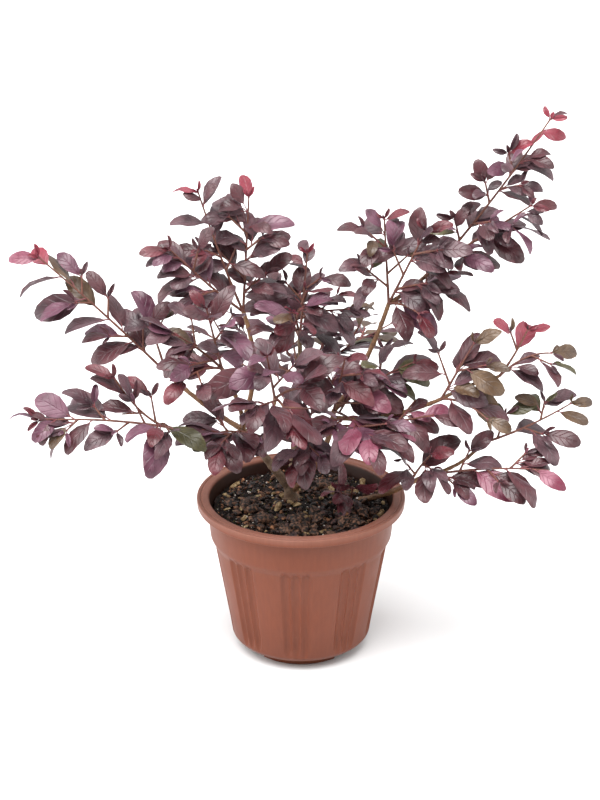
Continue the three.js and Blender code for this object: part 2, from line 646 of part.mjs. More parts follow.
function buildShrub() {
  const group = new THREE.Group();
  const pot = potSolid();
  const soil = soilSolid();
  group.add(namedMesh('pot', pot, 0xa5614c, 0.5));
  group.add(namedMesh('soil', soil, 0x2b211b, 1));

  const space = new Space();
  space.add('pot', pot);
  space.add('soil', soil);
  const limbs = limbSolids(soil);
  for (const [name, limb] of limbs) {
    group.add(namedMesh(name, limb.solid, BARK, 0.8));
    space.add(name, limb.solid);
  }

  const fats = [...limbs.values()].map((limb) => limb.fat);
  fats.push(soil.translate([0, 0, GAP]));
  const stems = MASSES.map((mass) => {
    const limb = limbs.get(mass.on);
    const start = limb ? limb.curve.getPoint(mass.at ?? 1) : vector(SOIL_FEET[mass.name]);
    const tip = vector(mass.tip);
    tip.addScaledVector(tip.clone().sub(start).normalize(), -TIP_SHARE * (mass.leaf ?? USUAL_LEAF));
    const curve = bowedCurve(start, tip, new THREE.Vector3(0, 0, mass.rise));
    let solid = twigSolid(curve);
    const box = solid.boundingBox();
    for (const fat of fats) {
      if (boxesMeet(box, fat.boundingBox())) solid = solid.subtract(fat);
    }
    fats.push(twigSolid(curve, GAP));
    solid = largestPiece(solid);
    space.add(mass.name, solid);
    return { curve, solid };
  });
  MASSES.forEach((mass, i) => {
    const facing = vector(mass.facing ?? FRONT).normalize();
    const shoots = massShoots(mass, stems[i].curve, facing, i + 1);
    const habit = mass.habit ?? USUAL_HABIT;
    const solid = foliageSolid(mass.name, shoots, facing, habit, stems[i].solid, space);
    group.add(namedMesh(mass.name, solid, FOLIAGE, 0.6));
  });
  return group;
}

export default buildShrub();
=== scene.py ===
"""A purple-leaved fringe flower shrub in a moulded nursery pot.

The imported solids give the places. This file grows the visible leaves, twigs, bark, soil and pot over
them by the same rule, in millimetres turned to metres when a mesh is made.
"""

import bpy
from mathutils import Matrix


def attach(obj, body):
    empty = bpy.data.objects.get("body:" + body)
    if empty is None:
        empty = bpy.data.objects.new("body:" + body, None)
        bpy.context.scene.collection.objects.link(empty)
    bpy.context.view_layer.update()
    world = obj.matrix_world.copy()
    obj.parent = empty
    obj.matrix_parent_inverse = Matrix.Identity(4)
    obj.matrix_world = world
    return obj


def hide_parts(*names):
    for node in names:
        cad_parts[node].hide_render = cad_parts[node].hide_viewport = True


bl_info = {
    "name": "Potted fringe flower shrub",
    "version": (1, 0, 0),
    "blender": (4, 5, 0),
    "location": "3D View > Sidebar > Shrub",
    "description": "Grows a potted purple-leaved shrub over its packed solids",
    "category": "Add Mesh",
}

import math

import bpy
import numpy as np
from bpy.props import FloatProperty, FloatVectorProperty, IntProperty, PointerProperty
from mathutils import Vector, kdtree

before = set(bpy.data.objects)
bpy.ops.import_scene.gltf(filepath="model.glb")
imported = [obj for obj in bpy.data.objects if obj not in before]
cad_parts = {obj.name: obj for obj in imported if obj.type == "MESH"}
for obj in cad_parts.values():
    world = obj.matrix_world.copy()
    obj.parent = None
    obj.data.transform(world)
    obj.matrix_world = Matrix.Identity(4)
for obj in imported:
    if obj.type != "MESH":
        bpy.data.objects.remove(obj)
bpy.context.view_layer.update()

MM = 0.001
UP = np.array([0.0, 0.0, 1.0])
BODY = "root"

# The pot's sizes in millimetres and degrees, as its solid has them but for a rounder corner.
POT_HEIGHT = 134
LIP_RADIUS = 85
LIP_DROP = 6.5
WALL_TOP_RADIUS = 76.6
BAND_RADIUS = 74.2
BAND_BOTTOM = 101
STEP_BOTTOM = 95
WALL_RADIUS_UNDER_STEP = 71.2
CORNER_TOP = 16
CORNER_RADIUS = 57.6
CORNER_ROUND = ((50.5, 8), (55, 9.8), (57.2, 13))
FOOT_RADIUS = 43.4
FOOT_HEIGHT = 6
WALL = 2.3
FLOOR_TOP = 8.6
FLOOR_EDGE_RADIUS = 42.5
FLUTE_GROUPS = 9
FLUTES_IN_GROUP = 3
FLUTE_ANGLE = 6.9
FLUTE_TURN = -3.3
NOTCH_ANGLES = (-63, 57, 177)
NOTCH_WIDTH = 26
NOTCH_INNER = 30
DRAIN_RADIUS = 4
DRAIN_DISTANCE = 37

# What only the visible pot has: the heights between which its flutes are full, how far they run out
# above and below those, the groove in its lip, the skin left over each drain hole, the radius of its
# innermost rings, its grid with the steps of a rounded corner, how strongly its lip lightens towards
# its top, and how high the painted shade towards its foot reaches on its wall.
FLUTE_TOP = 93
FLUTE_FOOT = 27
FLUTE_HEAD = 5
FLUTE_TAIL = 14
GROOVE_IN = 2.5
GROOVE_DEPTH = 0.8
DRAIN_SKIN = 1
POLE_RING = 2
POT_COLUMNS = 576
POT_ROW = 3.6
CORNER_STEPS = 5
RIM_LIGHTENING = 1.3
FOOT_SHADE_HEIGHT = 45

# The soil's top, as its solid has it: its height, how much it falls towards the wall, and from where.
SOIL_TOP = 126
SOIL_EDGE_DROP = 2.2
SOIL_LEVEL_RADIUS = 20

# The visible soil: how far it falls over, how far it lies under its solid's top and clear of the pot's
# wall and floor, its edge, its grid, and the heaps that clods lie in.
SOIL_FALLS_OVER = 40
SOIL_SUNK = 1.4
SOIL_WALL_GAP = 0.6
SOIL_FLOOR_GAP = 0.4
SOIL_EDGE_RADIUS = 71.6
SOIL_RINGS = 70
SOIL_COLUMNS = 220
HEAPS = ((-30, -34), (-8, -46), (14, -40), (36, -34), (10, -22), (-42, -6), (50, -8), (24, 34))
HEAP_SPREAD = 8

# The soil's lumps: wavelength in millimetres, seed, waves and weight of each noise. Then the highest
# that they may be, how much of them there is where the level ground ends, and where they are whole.
LUMPS = ((26, 11, 9, 1), (9, 12, 14, 1), (3.4, 13, 16, 0.6))
LUMP_HIGHEST = 1.6
LUMPS_START = 0.35
LUMPS_OVER = 25

# Grains: the least and the most share of its radius that a corner lies from the middle, the same of its
# width that a grain is high, how far it tips, in radians, and how much of its size clears the wall. Then
# how far in from the soil's edge the even ones end, and the share of the ground left free in the middle.
GRAIN_DENTS = (0.72, 1.12)
GRAIN_FLATNESS = (0.45, 0.9)
GRAIN_TIP = 0.6
GRAIN_CLEAR = 0.6
GRAIN_MARGIN = 2
GRAIN_HOLLOW = 0.002

# What lies on the soil: piece, how many for each hundred of the count of grains, smallest and largest
# in millimetres, stretch, how deep they sink, whether they lie in heaps, and the material with its two
# colours and its roughness.
GRAINS = (
    ("soil_clods", 6, (4.0, 12.0), 1.6, 0.05, True, "peat_clod", "#150c08", "#86604b", 0.6),
    ("soil_plum_clods", 3, (4.0, 10.0), 1.5, 0.05, True, "humus_clod", "#1c1314", "#61433c", 0.5),
    ("soil_crumbs", 50, (1.0, 5.6), 1.9, 0.2, False, "bark_fines", "#0a0605", "#603a28", 0.35),
    ("soil_russet", 12, (1.4, 5.2), 2.2, 0.1, False, "russet_bark", "#40281b", "#b07a56", 0.6),
    ("soil_chips", 5, (1.5, 6.5), 2.2, 0.1, False, "dry_bark_chip", "#705839", "#c4ad84", 0.7),
    ("soil_grit", 16, (0.6, 2.3), 1.3, 0.0, False, "perlite", "#c8c2b8", "#f0eae0", 0.5),
    ("soil_moss", 9, (0.8, 2.6), 1.5, 0.2, False, "moss_tuft", "#2b2c12", "#5e5626", 0.9),
)

# The trunk and how the rule grows leaves, with the same values as the solids. Where a pair is drawn
# from, the value is its first number plus up to its second.
TRUNK_FOOT = (-8, 12, SOIL_TOP - 2)
TRUNK_TOP = (-9.5, 11, SOIL_TOP + 12)
TRUNK_RADIUS = 5.2
TRUNK_TAPER = 0.8
FLARE = 2.8
FLARE_FALLS = 5
FLARE_LOBES = 5
LOBE_DEPTH = 0.3
TWIG_RADIUS = 1.15
TWIG_TIP_RADIUS = 0.75
TIP_ROOT_DEPTH = 2.5
USUAL_LEAF = 35
USUAL_TWIG = 27
LEAF_SPACING = 14
TWIG_LEAF_SPACING = 11
TWIG_SPACING = 27
LEAF_TRIES = 4
FOOT_CLEAR = 7
STEM_BARE = 0.16
STEM_LEAVES_LEAST = 3
TWIG_BARE = 0.3
TWIG_LEAVES_LEAST = 2
TWIG_LEAF = 0.93
TWIGS_FROM = 0.12
TWIGS_OVER = 0.66
TWIG_PLACE_VARIES = 0.6
TWIG_VIGOUR = (0.85, 0.3)
TWIG_REACH = 1.15
REACH_FALLS = 0.5
TIP_SHARE = 0.3
LEAF_SPREAD = 62
SPREAD_CLOSES = 20
SPREAD_VARIES = 14
TIP_VARIES = 24
LEAF_ROLL = 36
LIFT_VARIES = 0.3
LEAF_DROOP = 0.12
DROOP_VARIES = 0.18
LEAF_ARCH = 0.18
LEAF_SWEEP = 0.4
SWEEP_FULL = 80
LEAF_LEVEL = 0.6
LEAF_TO_SKY = 0.6
CROWN_AXIS = (-5, 10)
YOUNG_FROM = 0.65
YOUNG_SHORTER = 0.42
LEAF_LENGTHS = (0.86, 0.3)
LEAF_WIDTHS = (0.46, 0.14)
LEAF_ARCHES = (0.4, 1.2)
TWIG_FORWARD = 0.65
TWIG_SIDEWAYS = 0.75
TWIG_OUTWARD = 0.2
OUTWARD_VARIES = 0.35
TWIG_UP = 0.1

# The number of each trait, which keeps its draws apart from the others' of the same seed.
DRAW = {
    "nodes": 1, "spread": 1, "lift": 2, "droop": 3, "roll": 4, "length": 5, "width": 6, "arch": 7,
    "twig_place": 11, "twig_turn": 12, "twig_reach": 13,
    "tint": 21, "fold": 22, "curl": 23, "wave": 24, "spur": 25, "spur_length": 26, "hook": 27,
    "egg": 28, "blunt": 29, "spur_side": 31, "spur_size": 33, "tip_turn": 41,
}

# The ways that the masses face.
FRONT = (0, -0.75, 0.66)
ABOVE = (0, -0.35, 0.94)
REAR = (0, 0.55, 0.83)

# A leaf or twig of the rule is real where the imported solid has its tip, this near in millimetres.
LEAF_TIP_NEAR = 0.1

# The camera, as fitted to the rim and the foot of the pot in the 600 by 800 pixel frame.
CAMERA_PLACE = (-0.8, -1534, 862)
CAMERA_PITCH = 22.79
CAMERA_FOCUS_PX = 2080
IMAGE_HEIGHT_PX = 800
SENSOR_HEIGHT = 24

# The suns: name, direction towards each, and how wide it is in degrees.
SUNS = (
    ("key", (-0.1, -0.35, 1.0), 50), ("top", (0.15, 0.15, 1.0), 130),
    ("fill", (-1.0, -0.12, 0.35), 60), ("side", (1.0, -0.12, 0.35), 60),
)

# A curve is upright where its rise is more than this share of its chord.
UPRIGHT = 0.8

# Edges that turn by more than this are creased in shading.
SHARP_ANGLE = math.radians(62)

# Limbs: name, carrier, share along it, tip, bow, thick and thin radius.
LIMBS = (
    ("left_stem", "trunk", 0.7, (-48, -4, 195), (-1, 0, 2), (3.7, 2.6)),
    ("right_stem", "trunk", 0.5, (26, -6, 210), (7, -3, -3), (2.7, 2.1)),
    ("middle_stem", "trunk", 0.95, (-1, 30, 259), (3, 6, 0), (2.6, 1.8)),
    ("back_stem", "trunk", 0.6, (-2, 66, 212), (0, 3, -4), (2.6, 1.9)),
    ("right_low_stem", "soil", 0, (97, -30, 164), (0, 1, -4), (2.5, 1.7)),
    ("right_upper_stem", "right_stem", 1, (69, 4, 298), (3, 0, -3), (2.1, 1.7)),
    ("left_low_bough", "left_stem", 0.86, (-104, -42, 212), (0, -2, -4), (2.1, 1.5)),
    ("left_far_bough", "left_stem", 0.97, (-108, 8, 238), (0, 0, -3), (2.2, 1.5)),
    ("left_up_bough", "left_stem", 1, (-46, 18, 286), (9, 2, 0), (2.2, 1.6)),
    ("left_mid_bough", "left_stem", 0.94, (-61, -48, 264), (4, -4, 0), (1.9, 1.4)),
    ("front_bough", "left_stem", 0.7, (-20, -70, 248), (2, -10, -3), (1.9, 1.4)),
    ("right_mid_bough", "right_stem", 0.94, (110, -30, 231), (0, -3, -5), (1.9, 1.5)),
    ("right_up_bough", "right_upper_stem", 1, (108, 3, 332), (0, 0, -2), (1.7, 1.4)),
    ("right_far_bough", "right_mid_bough", 1, (155, -25, 248), (0, 0, 2), (1.5, 1.2)),
    ("right_low_bough", "right_low_stem", 1, (143, -30, 193), (4, 0, -4), (1.6, 1.2)),
)
SOIL_FEET = {"right_low_stem": (46, 14, SOIL_TOP - 4), "sucker": (40, 6, SOIL_TOP - 4)}
OLD_LIMBS = ("left_stem", "middle_stem", "back_stem")

# Masses: name, limb, share along it, tip, rise, leaf, twig, facing, and the mood of its tints.
MASSES = (
    ("left_low_outer", "left_low_bough", 1, (-213, -64, 228), 3, 36, 18, FRONT, "mauve"),
    ("left_low_under", "left_low_bough", 1, (-116, -76, 224), 4, 37, 20, FRONT, "plum"),
    ("left_low_upper", "left_low_bough", 1, (-153, -42, 263), -8, 36, 18, FRONT, "plum"),
    ("left_low_inner", "left_stem", 0.8, (-78, -40, 205), 5, 41, 20, FRONT, "moss"),
    ("left_far", "left_far_bough", 1, (-214, 10, 343), 2, 39, 18, FRONT, "blush"),
    ("left_far_side", "left_far_bough", 1, (-124, 5, 295), 2, 33, 18, FRONT, "blush"),
    ("left_top", "left_up_bough", 1, (-40, 22, 391), 0, USUAL_LEAF, USUAL_TWIG, FRONT, "flush"),
    ("left_shoulder", "left_up_bough", 1, (-83, 10, 398), -4, 33, 18, FRONT, "flush"),
    ("left_middle", "left_up_bough", 1, (-108, -20, 358), -2, USUAL_LEAF, USUAL_TWIG, FRONT, "mauve"),
    ("left_centre", "left_mid_bough", 1, (-112, -60, 307), 3, USUAL_LEAF, USUAL_TWIG, FRONT, "mauve"),
    ("left_centre_low", "left_mid_bough", 1, (-98, -92, 268), 4, 41, USUAL_TWIG, FRONT, "plum"),
    ("left_centre_up", "left_mid_bough", 1, (-74, -55, 326), 0, USUAL_LEAF, USUAL_TWIG, FRONT, "mauve"),
    ("centre_top", "middle_stem", 1, (6, 40, 338), 0, 31, USUAL_TWIG, FRONT, "flush"),
    ("centre_right", "middle_stem", 1, (36, 45, 299), 3, USUAL_LEAF, USUAL_TWIG, FRONT, "grey"),
    ("centre_left", "middle_stem", 1, (-34, 62, 309), 3, USUAL_LEAF, USUAL_TWIG, ABOVE, "plum"),
    ("centre_fore", "middle_stem", 1, (-8, -16, 302), 5, USUAL_LEAF, USUAL_TWIG, FRONT, "flush"),
    ("front_upper", "front_bough", 1, (-27, -94, 302), 0, 39, USUAL_TWIG, FRONT, "mauve"),
    ("front_mid", "front_bough", 1, (15, -96, 268), 4, 39, USUAL_TWIG, FRONT, "plum"),
    ("front_low", "front_bough", 1, (-3, -116, 234), 6, 41, USUAL_TWIG, FRONT, "plum"),
    ("front_left", "left_stem", 0.92, (-66, -74, 208), 5, 39, USUAL_TWIG, FRONT, "plum"),
    ("front_hang", "right_stem", 0.75, (-12, -66, 188), 8, 39, USUAL_TWIG, FRONT, "plum"),
    ("front_right", "right_stem", 1, (60, -80, 208), 6, 41, USUAL_TWIG, FRONT, "rose"),
    ("right_inner", "right_stem", 1, (35, -50, 280), 0, USUAL_LEAF, USUAL_TWIG, FRONT, "plum"),
    ("right_heart", "right_stem", 1, (98, -15, 262), 4, USUAL_LEAF, USUAL_TWIG, FRONT, "moss"),
    ("right_low_inner", "right_stem", 0.85, (113, -52, 228), -2, USUAL_LEAF, USUAL_TWIG, FRONT, "rose"),
    ("right_cluster", "right_upper_stem", 1, (64, 12, 376), 0, 32, USUAL_TWIG, FRONT, "grey"),
    ("right_cluster_side", "right_upper_stem", 1, (100, -20, 376), 0, 39, USUAL_TWIG, FRONT, "grey"),
    ("right_fork_low", "right_upper_stem", 1, (98, -35, 301), 3, USUAL_LEAF, 20, FRONT, "grey"),
    ("right_top_low", "right_upper_stem", 1, (124, -10, 334), -4, USUAL_LEAF, 20, FRONT, "grey"),
    ("right_top", "right_up_bough", 1, (195, 5, 455), -4, 29, 18, FRONT, "flush"),
    ("right_top_side", "right_up_bough", 1, (185, -12, 390), 0, 35, 14, FRONT, "mauve"),
    ("right_mid", "right_mid_bough", 1, (139, -35, 290), 0, USUAL_LEAF, USUAL_TWIG, FRONT, "bronze"),
    ("right_mid_low", "right_mid_bough", 1, (154, -57, 220), 5, USUAL_LEAF, 20, FRONT, "bronze"),
    ("right_far", "right_far_bough", 1, (206, -20, 270), 6, USUAL_LEAF, 20, FRONT, "bronze"),
    ("right_far_up", "right_far_bough", 1, (182, -15, 293), -3, 31, 18, FRONT, "sprig"),
    ("right_low_rise", "right_low_stem", 0.8, (105, -55, 200), 2, USUAL_LEAF, 20, FRONT, "plum"),
    ("right_low_front", "right_low_stem", 1, (202, -72, 189), 4, USUAL_LEAF, 20, FRONT, "rose"),
    ("right_low_outer", "right_low_bough", 1, (223, -30, 233), -3, 38, 18, FRONT, "bronze"),
    ("back_left", "back_stem", 1, (-96, 112, 238), 0, USUAL_LEAF, 34, REAR, "plum"),
    ("back_middle", "back_stem", 1, (-12, 142, 258), -4, USUAL_LEAF, 34, REAR, "mauve"),
    ("back_right", "back_stem", 1, (86, 118, 244), 0, USUAL_LEAF, 34, REAR, "bronze"),
    ("sucker", "soil", 1, (43, -8, 150), 0, 27, 17, FRONT, "maroon"),
)

# How far leaves lean out and how much of their rise they keep, for masses that differ from the rest.
HABITS = {"left_low_outer": (0.15, 1.3)}

# Tints, each with the sRGB hex values of its upper side, its lit patches and its underside.
TINTS = {
    "plum": ("#371419", "#4f282d", "#542e33"),
    "dusk": ("#381f25", "#57393f", "#5a3c41"),
    "mauve": ("#482131", "#684050", "#65404c"),
    "maroon": ("#480e16", "#62242d", "#602b33"),
    "crimson": ("#6d1526", "#862e3d", "#78384a"),
    "rose": ("#6c2b3e", "#834a5b", "#7a4453"),
    "bronze": ("#432e1c", "#5d4630", "#624c37"),
    "moss": ("#3a361c", "#514b2c", "#5b5439"),
}

# How often each tint comes up in a mood, in hundredths, and the tint of the young tip of its stem.
MOODS = {
    "plum": ({"plum": 54, "dusk": 28, "mauve": 10, "maroon": 8}, "maroon"),
    "mauve": ({"mauve": 34, "plum": 32, "dusk": 30, "bronze": 4}, "maroon"),
    "grey": ({"dusk": 50, "plum": 30, "mauve": 8, "bronze": 10, "moss": 2}, "maroon"),
    "bronze": ({"bronze": 24, "dusk": 34, "plum": 28, "moss": 9, "mauve": 5}, "bronze"),
    "moss": ({"plum": 40, "moss": 14, "dusk": 32, "mauve": 14}, "maroon"),
    "blush": ({"mauve": 28, "plum": 34, "dusk": 24, "maroon": 6, "bronze": 8}, "crimson"),
    "flush": ({"plum": 44, "dusk": 34, "mauve": 14, "maroon": 8}, "crimson"),
    "sprig": ({"bronze": 26, "dusk": 34, "plum": 32, "maroon": 8}, "crimson"),
    "rose": ({"plum": 44, "mauve": 22, "rose": 12, "dusk": 22}, "rose"),
    "maroon": ({"maroon": 100}, "maroon"),
}

# How many in a hundred of the leaves at a stem's end take the young tint.
YOUNG_TINTED = 85

# Leaves that stand out in the photograph: for each mass, a leaf's shoot, its place there and its tint.
ACCENTS = {
    "left_far": {(0, 1): "plum", (0, 4): "bronze", (0, 5): "dusk", (0, 6): "bronze", (0, 8): "crimson",
                 (0, 9): "rose"},
    "left_low_outer": {(0, 4): "mauve", (0, 5): "mauve", (0, 6): "mauve", (4, 1): "plum"},
    "left_low_upper": {(0, 2): "plum", (1, 1): "maroon"},
    "left_low_under": {(0, 1): "mauve", (1, 0): "moss"},
    "left_low_inner": {(0, 2): "moss"},
    "centre_left": {(0, 3): "crimson"},
    "centre_fore": {(0, 3): "bronze"},
    "front_upper": {(0, 2): "mauve"},
    "front_right": {(0, 2): "dusk", (0, 4): "plum", (2, 0): "rose"},
    "right_low_inner": {(0, 0): "rose", (0, 2): "moss", (0, 5): "rose"},
    "right_top": {(0, 7): "crimson", (0, 8): "crimson", (1, 0): "moss", (5, 1): "crimson"},
    "right_far_up": {(0, 1): "crimson", (0, 2): "crimson", (2, 1): "crimson"},
    "right_far": {(0, 2): "bronze"},
    "right_low_outer": {(0, 4): "bronze", (0, 5): "bronze"},
    "right_low_front": {(0, 2): "rose", (0, 6): "rose", (4, 1): "plum"},
}

# The share of leaves with a spur in their axil: at the crown's axis, how it falls with each millimetre
# from there, the least and the most of it, and what it gains in fuller masses. Then how much of its
# leaf's direction and of outward a spur takes, its length, how far its leaves are turned, in radians,
# their droop, and their size, width and arch.
SPUR_AT_AXIS = 1.1
SPUR_FALL = 1 / 210
SPUR_LEAST = 0.32
SPUR_MOST = 0.95
FULLER = {
    "right_top": 0.4, "right_top_side": 0.3, "left_low_outer": 0.2, "right_cluster_side": 0.2, "sucker": 1.0,
}
SPUR_ALONG = 0.6
SPUR_OUTWARD = 0.35
SPUR_LENGTHS = (4, 4)
SPUR_TURN = 0.6
SPUR_TURN_VARIES = 0.35
SPUR_DROOP = 0.1
SPUR_LEAVES = (0.55, 0.25)
SPUR_WIDTH = 0.58
SPUR_ARCH = 0.16

# Young leaves round the end of a shoot: how far each is turned, its lift, and its share of a leaf. Then
# how far ahead they stand, how much their turn varies, their width, arch and fold, and how much longer,
# broader and flatter they are in fuller masses.
TIP_LEAVES = ((-0.6, 0.3, 0.46), (0.7, 0.2, 0.36), (0.1, 0.8, 0.25))
TIP_AHEAD = 1.5
TIP_TURN_VARIES = 0.25
TIP_FULLER_LONGER = 2
TIP_WIDTH = 0.42
TIP_FULLER_WIDTH = 0.12
TIP_ARCH = 0.1
TIP_FOLD = 0.6
TIP_FULLER_FLAT = 0.7

# A blade, in the words of leaf_blades: how much its tip hooks and from where, its egg, the power at its
# base and its bluntness, what share of the usual fold and curl it has and how much of its fold the
# margin loses, and the height, the count and the shift, in radians, of the waves of its margins.
BLADE_HOOK = (0.3, 2.2)
HOOK_FROM = 0.7
BLADE_EGG = (1.02, 0.28)
BLADE_FULL = 0.8
BLADE_BLUNT = (0.24, 0.2)
BLADE_FOLD = (0.1, 1.6)
BLADE_CURL = (0.2, 1.8)
FOLD_OPENS = 0.3
RIPPLE = 0.11
RIPPLES_ALONG = 1.4
RIPPLE_SHIFT = 1.7

# Pairs of side veins on a leaf, how far they lean forwards, and half the width of each and of the
# midrib, as shares of the gap between two veins and of the leaf's width.
VEIN_PAIRS = 5.2
VEIN_SLANT = 0.62
VEIN_HALF = 0.11
MIDRIB_HALF = 0.05

# How far a stalk reaches up its blade, how far it bows, how thin it ends, the share of its radius that
# doesn't depend on the leaf's length, and its grid. Then a twig's radius as a share of a stem's, what
# its end keeps of the solid's, the swelling at its nodes and how sharp it is, the millimetres between
# its rings, their least count, and its sides.
STALK_OVERLAP = 0.12
STALK_BOW = 0.02
STALK_END = 0.55
STALK_FIRM = 0.6
STALK_ROWS = 5
STALK_SIDES = 6
TWIG_THINNER = 0.85
TWIG_END = 0.8
TWIG_SWELLING = 0.16
TWIG_NODES_SHARP = 6
TWIG_ROW = 2
TWIG_ROWS_LEAST = 6
TWIG_SIDES = 8

# The distance between the nodes of a limb, how sharp they are, how much it swells at each and at the
# scar on one side there, and the turn in radians from one scar to the next, the golden angle. Then the
# wavelengths of its ridges and of its finer grain, in millimetres, what share of the relief the grain
# has, the millimetres between its rings, their least count, and its sides.
LIMB_NODE_GAP = 17
NODES_SHARP = 8
NODE_SWELLING = 0.07
SCAR_SWELLING = 0.16
SCAR_TURN = 2.4
RIDGE_LENGTH = 9
BARK_GRAIN_LENGTH = 2.2
BARK_GRAIN = 0.5
BARK_ROW = 1.1
BARK_ROWS_LEAST = 12
BARK_SIDES = 22

# The grid of one leaf: where its section's corners lie across it, how many of them are on top, the
# rings along its blade, and how far the first of them lies from the pole, in gaps. The pole itself is
# set back to this share of the stalk.
LEAF_ACROSS = np.array([-1, -0.5, 0, 0.5, 1, 0.5, 0, -0.5])
LEAF_TOPS = 5
LEAF_SIDES = len(LEAF_ACROSS)
LEAF_RINGS = 7
FIRST_RING = 0.55
BLADE_BACK = 0.8


def linear(hex_code):
    """One sRGB hex value as linear red, green, blue and 1."""
    levels = [int(hex_code[i:i + 2], 16) / 255 for i in (1, 3, 5)]
    return (*[c / 12.92 if c <= 0.04045 else ((c + 0.055) / 1.055) ** 2.4 for c in levels], 1.0)


def add_node(tree, kind, inputs=None, **settings):
    """Adds one shader node with its settings. Each input takes a value, the socket that feeds it, or a
    node, whose first output in use feeds it."""
    node = tree.nodes.new("ShaderNode" + kind)
    for name, value in settings.items():
        setattr(node, name, value)
    for name, value in (inputs or {}).items():
        if isinstance(value, bpy.types.Node):
            value = next(socket for socket in value.outputs if socket.enabled)
        if isinstance(value, bpy.types.NodeSocket):
            tree.links.new(value, node.inputs[name])
        else:
            node.inputs[name].default_value = value
    return node


def new_material(name):
    """An empty material and its node tree."""
    material = bpy.data.materials.new(name)
    material.use_nodes = True
    material.node_tree.nodes.clear()
    return material, material.node_tree


def unit(vectors):
    """Vectors divided by their own lengths."""
    return vectors / np.linalg.norm(vectors, axis=-1, keepdims=True)


def smooth(x):
    """Eases from 0 to 1: x squared times (3 - 2x), with x held between 0 and 1."""
    x = np.clip(x, 0, 1)
    return x * x * (3 - 2 * x)


def chance(seed, i, trait):
    """A number from 0 to 1 that depends only on two whole numbers and the trait's own one: the
    fraction of a fast sine."""
    wave = math.sin(seed * 12.9898 + i * 78.233 + DRAW[trait] * 37.719) * 43758.5453
    return wave - math.floor(wave)


def jitter(spread, seed, i, trait):
    """The same number spread evenly from -spread to +spread."""
    return spread * (2 * chance(seed, i, trait) - 1)


def drawn(pair, seed, i, trait):
    """The first number of a pair plus up to its second."""
    return pair[0] + pair[1] * chance(seed, i, trait)


def ripples(x, y, scale, seed, count=9):
    """Smooth noise about 0: a sum of count sine waves that run in seeded directions, from the given
    wavelength down to a third of it."""
    rng = np.random.default_rng(seed)
    total = np.zeros(np.broadcast(x, y).shape)
    for wave in range(count):
        turn = rng.uniform(0, 2 * math.pi)
        length = scale / (1 + 2 * wave / count)
        phase = rng.uniform(0, 2 * math.pi)
        total += np.sin(2 * math.pi * (x * math.cos(turn) + y * math.sin(turn)) / length + phase)
    return total / math.sqrt(count)


class Bow:
    """A curve from start to tip that passes its bow off the straight line at half length."""

    def __init__(self, start, tip, bow=(0, 0, 0)):
        self.start = np.array(start, float)
        self.tip = np.array(tip, float)
        self.control = (self.start + self.tip) / 2 + 2 * np.array(bow, float)

    def point(self, f):
        """(1-f)^2 start + 2f(1-f) control + f^2 tip."""
        f = np.asarray(f, float)[..., None]
        return (1 - f) ** 2 * self.start + 2 * f * (1 - f) * self.control + f ** 2 * self.tip

    def tangent(self, f):
        """The direction that the point moves in as f grows."""
        f = np.asarray(f, float)[..., None]
        return unit((1 - f) * (self.control - self.start) + f * (self.tip - self.control))

    def length(self):
        """Sum of 200 chords."""
        points = self.point(np.linspace(0, 1, 201))
        return float(np.linalg.norm(np.diff(points, axis=0), axis=1).sum())


def section_frames(curve, f):
    """Two directions across a curve at each f. The first is tangent x a steady axis, which is level
    for an upright curve."""
    chord = curve.tip - curve.start
    upright = abs(chord[2]) > UPRIGHT * np.linalg.norm(chord)
    steady = np.array([0.0, 1.0, 0.0]) if upright else UP
    tangent = curve.tangent(f)
    across = unit(np.cross(tangent, steady))
    return across, np.cross(across, tangent)


def tube_rings(curve, radii):
    """Rings of a tube: centre + across x radius x cosine + over x radius x sine. radii has a row for
    each ring and a column for each side."""
    rows, sides = radii.shape
    f = np.linspace(0, 1, rows)
    across, over = section_frames(curve, f)
    angle = np.linspace(0, 2 * math.pi, sides, endpoint=False)
    ring = (across[:, None] * np.cos(angle)[None, :, None]
            + over[:, None] * np.sin(angle)[None, :, None])
    return curve.point(f)[:, None] + ring * radii[..., None]


def close_tubes(rings, poles=None):
    """Closed tubes from an array of tube, row, side and xyz. A pole at each end closes it, in the
    middle of the end ring unless it is given. Quads join neighbours, and a fan of triangles joins each
    pole to its ring."""
    count, rows, sides = rings.shape[:3]
    if poles is None:
        poles = np.stack([rings[:, 0].mean(1), rings[:, -1].mean(1)], axis=1)
    vertices = np.concatenate([rings.reshape(count, rows * sides, 3), poles], axis=1)
    row = np.arange(rows - 1)[:, None] * sides
    side = np.arange(sides)[None, :]
    beside = (side + 1) % sides
    quads = np.stack([row + side, row + sides + side, row + sides + beside, row + beside], axis=-1)
    first = np.stack([np.full(sides, rows * sides), side[0], beside[0]], axis=-1)
    last_row = (rows - 1) * sides
    last = np.stack([np.full(sides, rows * sides + 1), last_row + beside[0], last_row + side[0]], axis=-1)
    shift = np.arange(count)[:, None, None] * (rows * sides + 2)
    quads = quads.reshape(1, -1, 4) + shift
    triangles = np.concatenate([first, last])[None] + shift
    return vertices.reshape(-1, 3), quads.reshape(-1, 4), triangles.reshape(-1, 3)


def join_parts(parts):
    """Joins vertices, quads and triangles of several meshes, with each one's numbers moved on."""
    start = np.cumsum([0] + [len(part[0]) for part in parts[:-1]])
    vertices = np.concatenate([part[0] for part in parts])
    quads = np.concatenate([part[1] + at for part, at in zip(parts, start)])
    triangles = np.concatenate([part[2] + at for part, at in zip(parts, start)])
    return vertices, quads, triangles


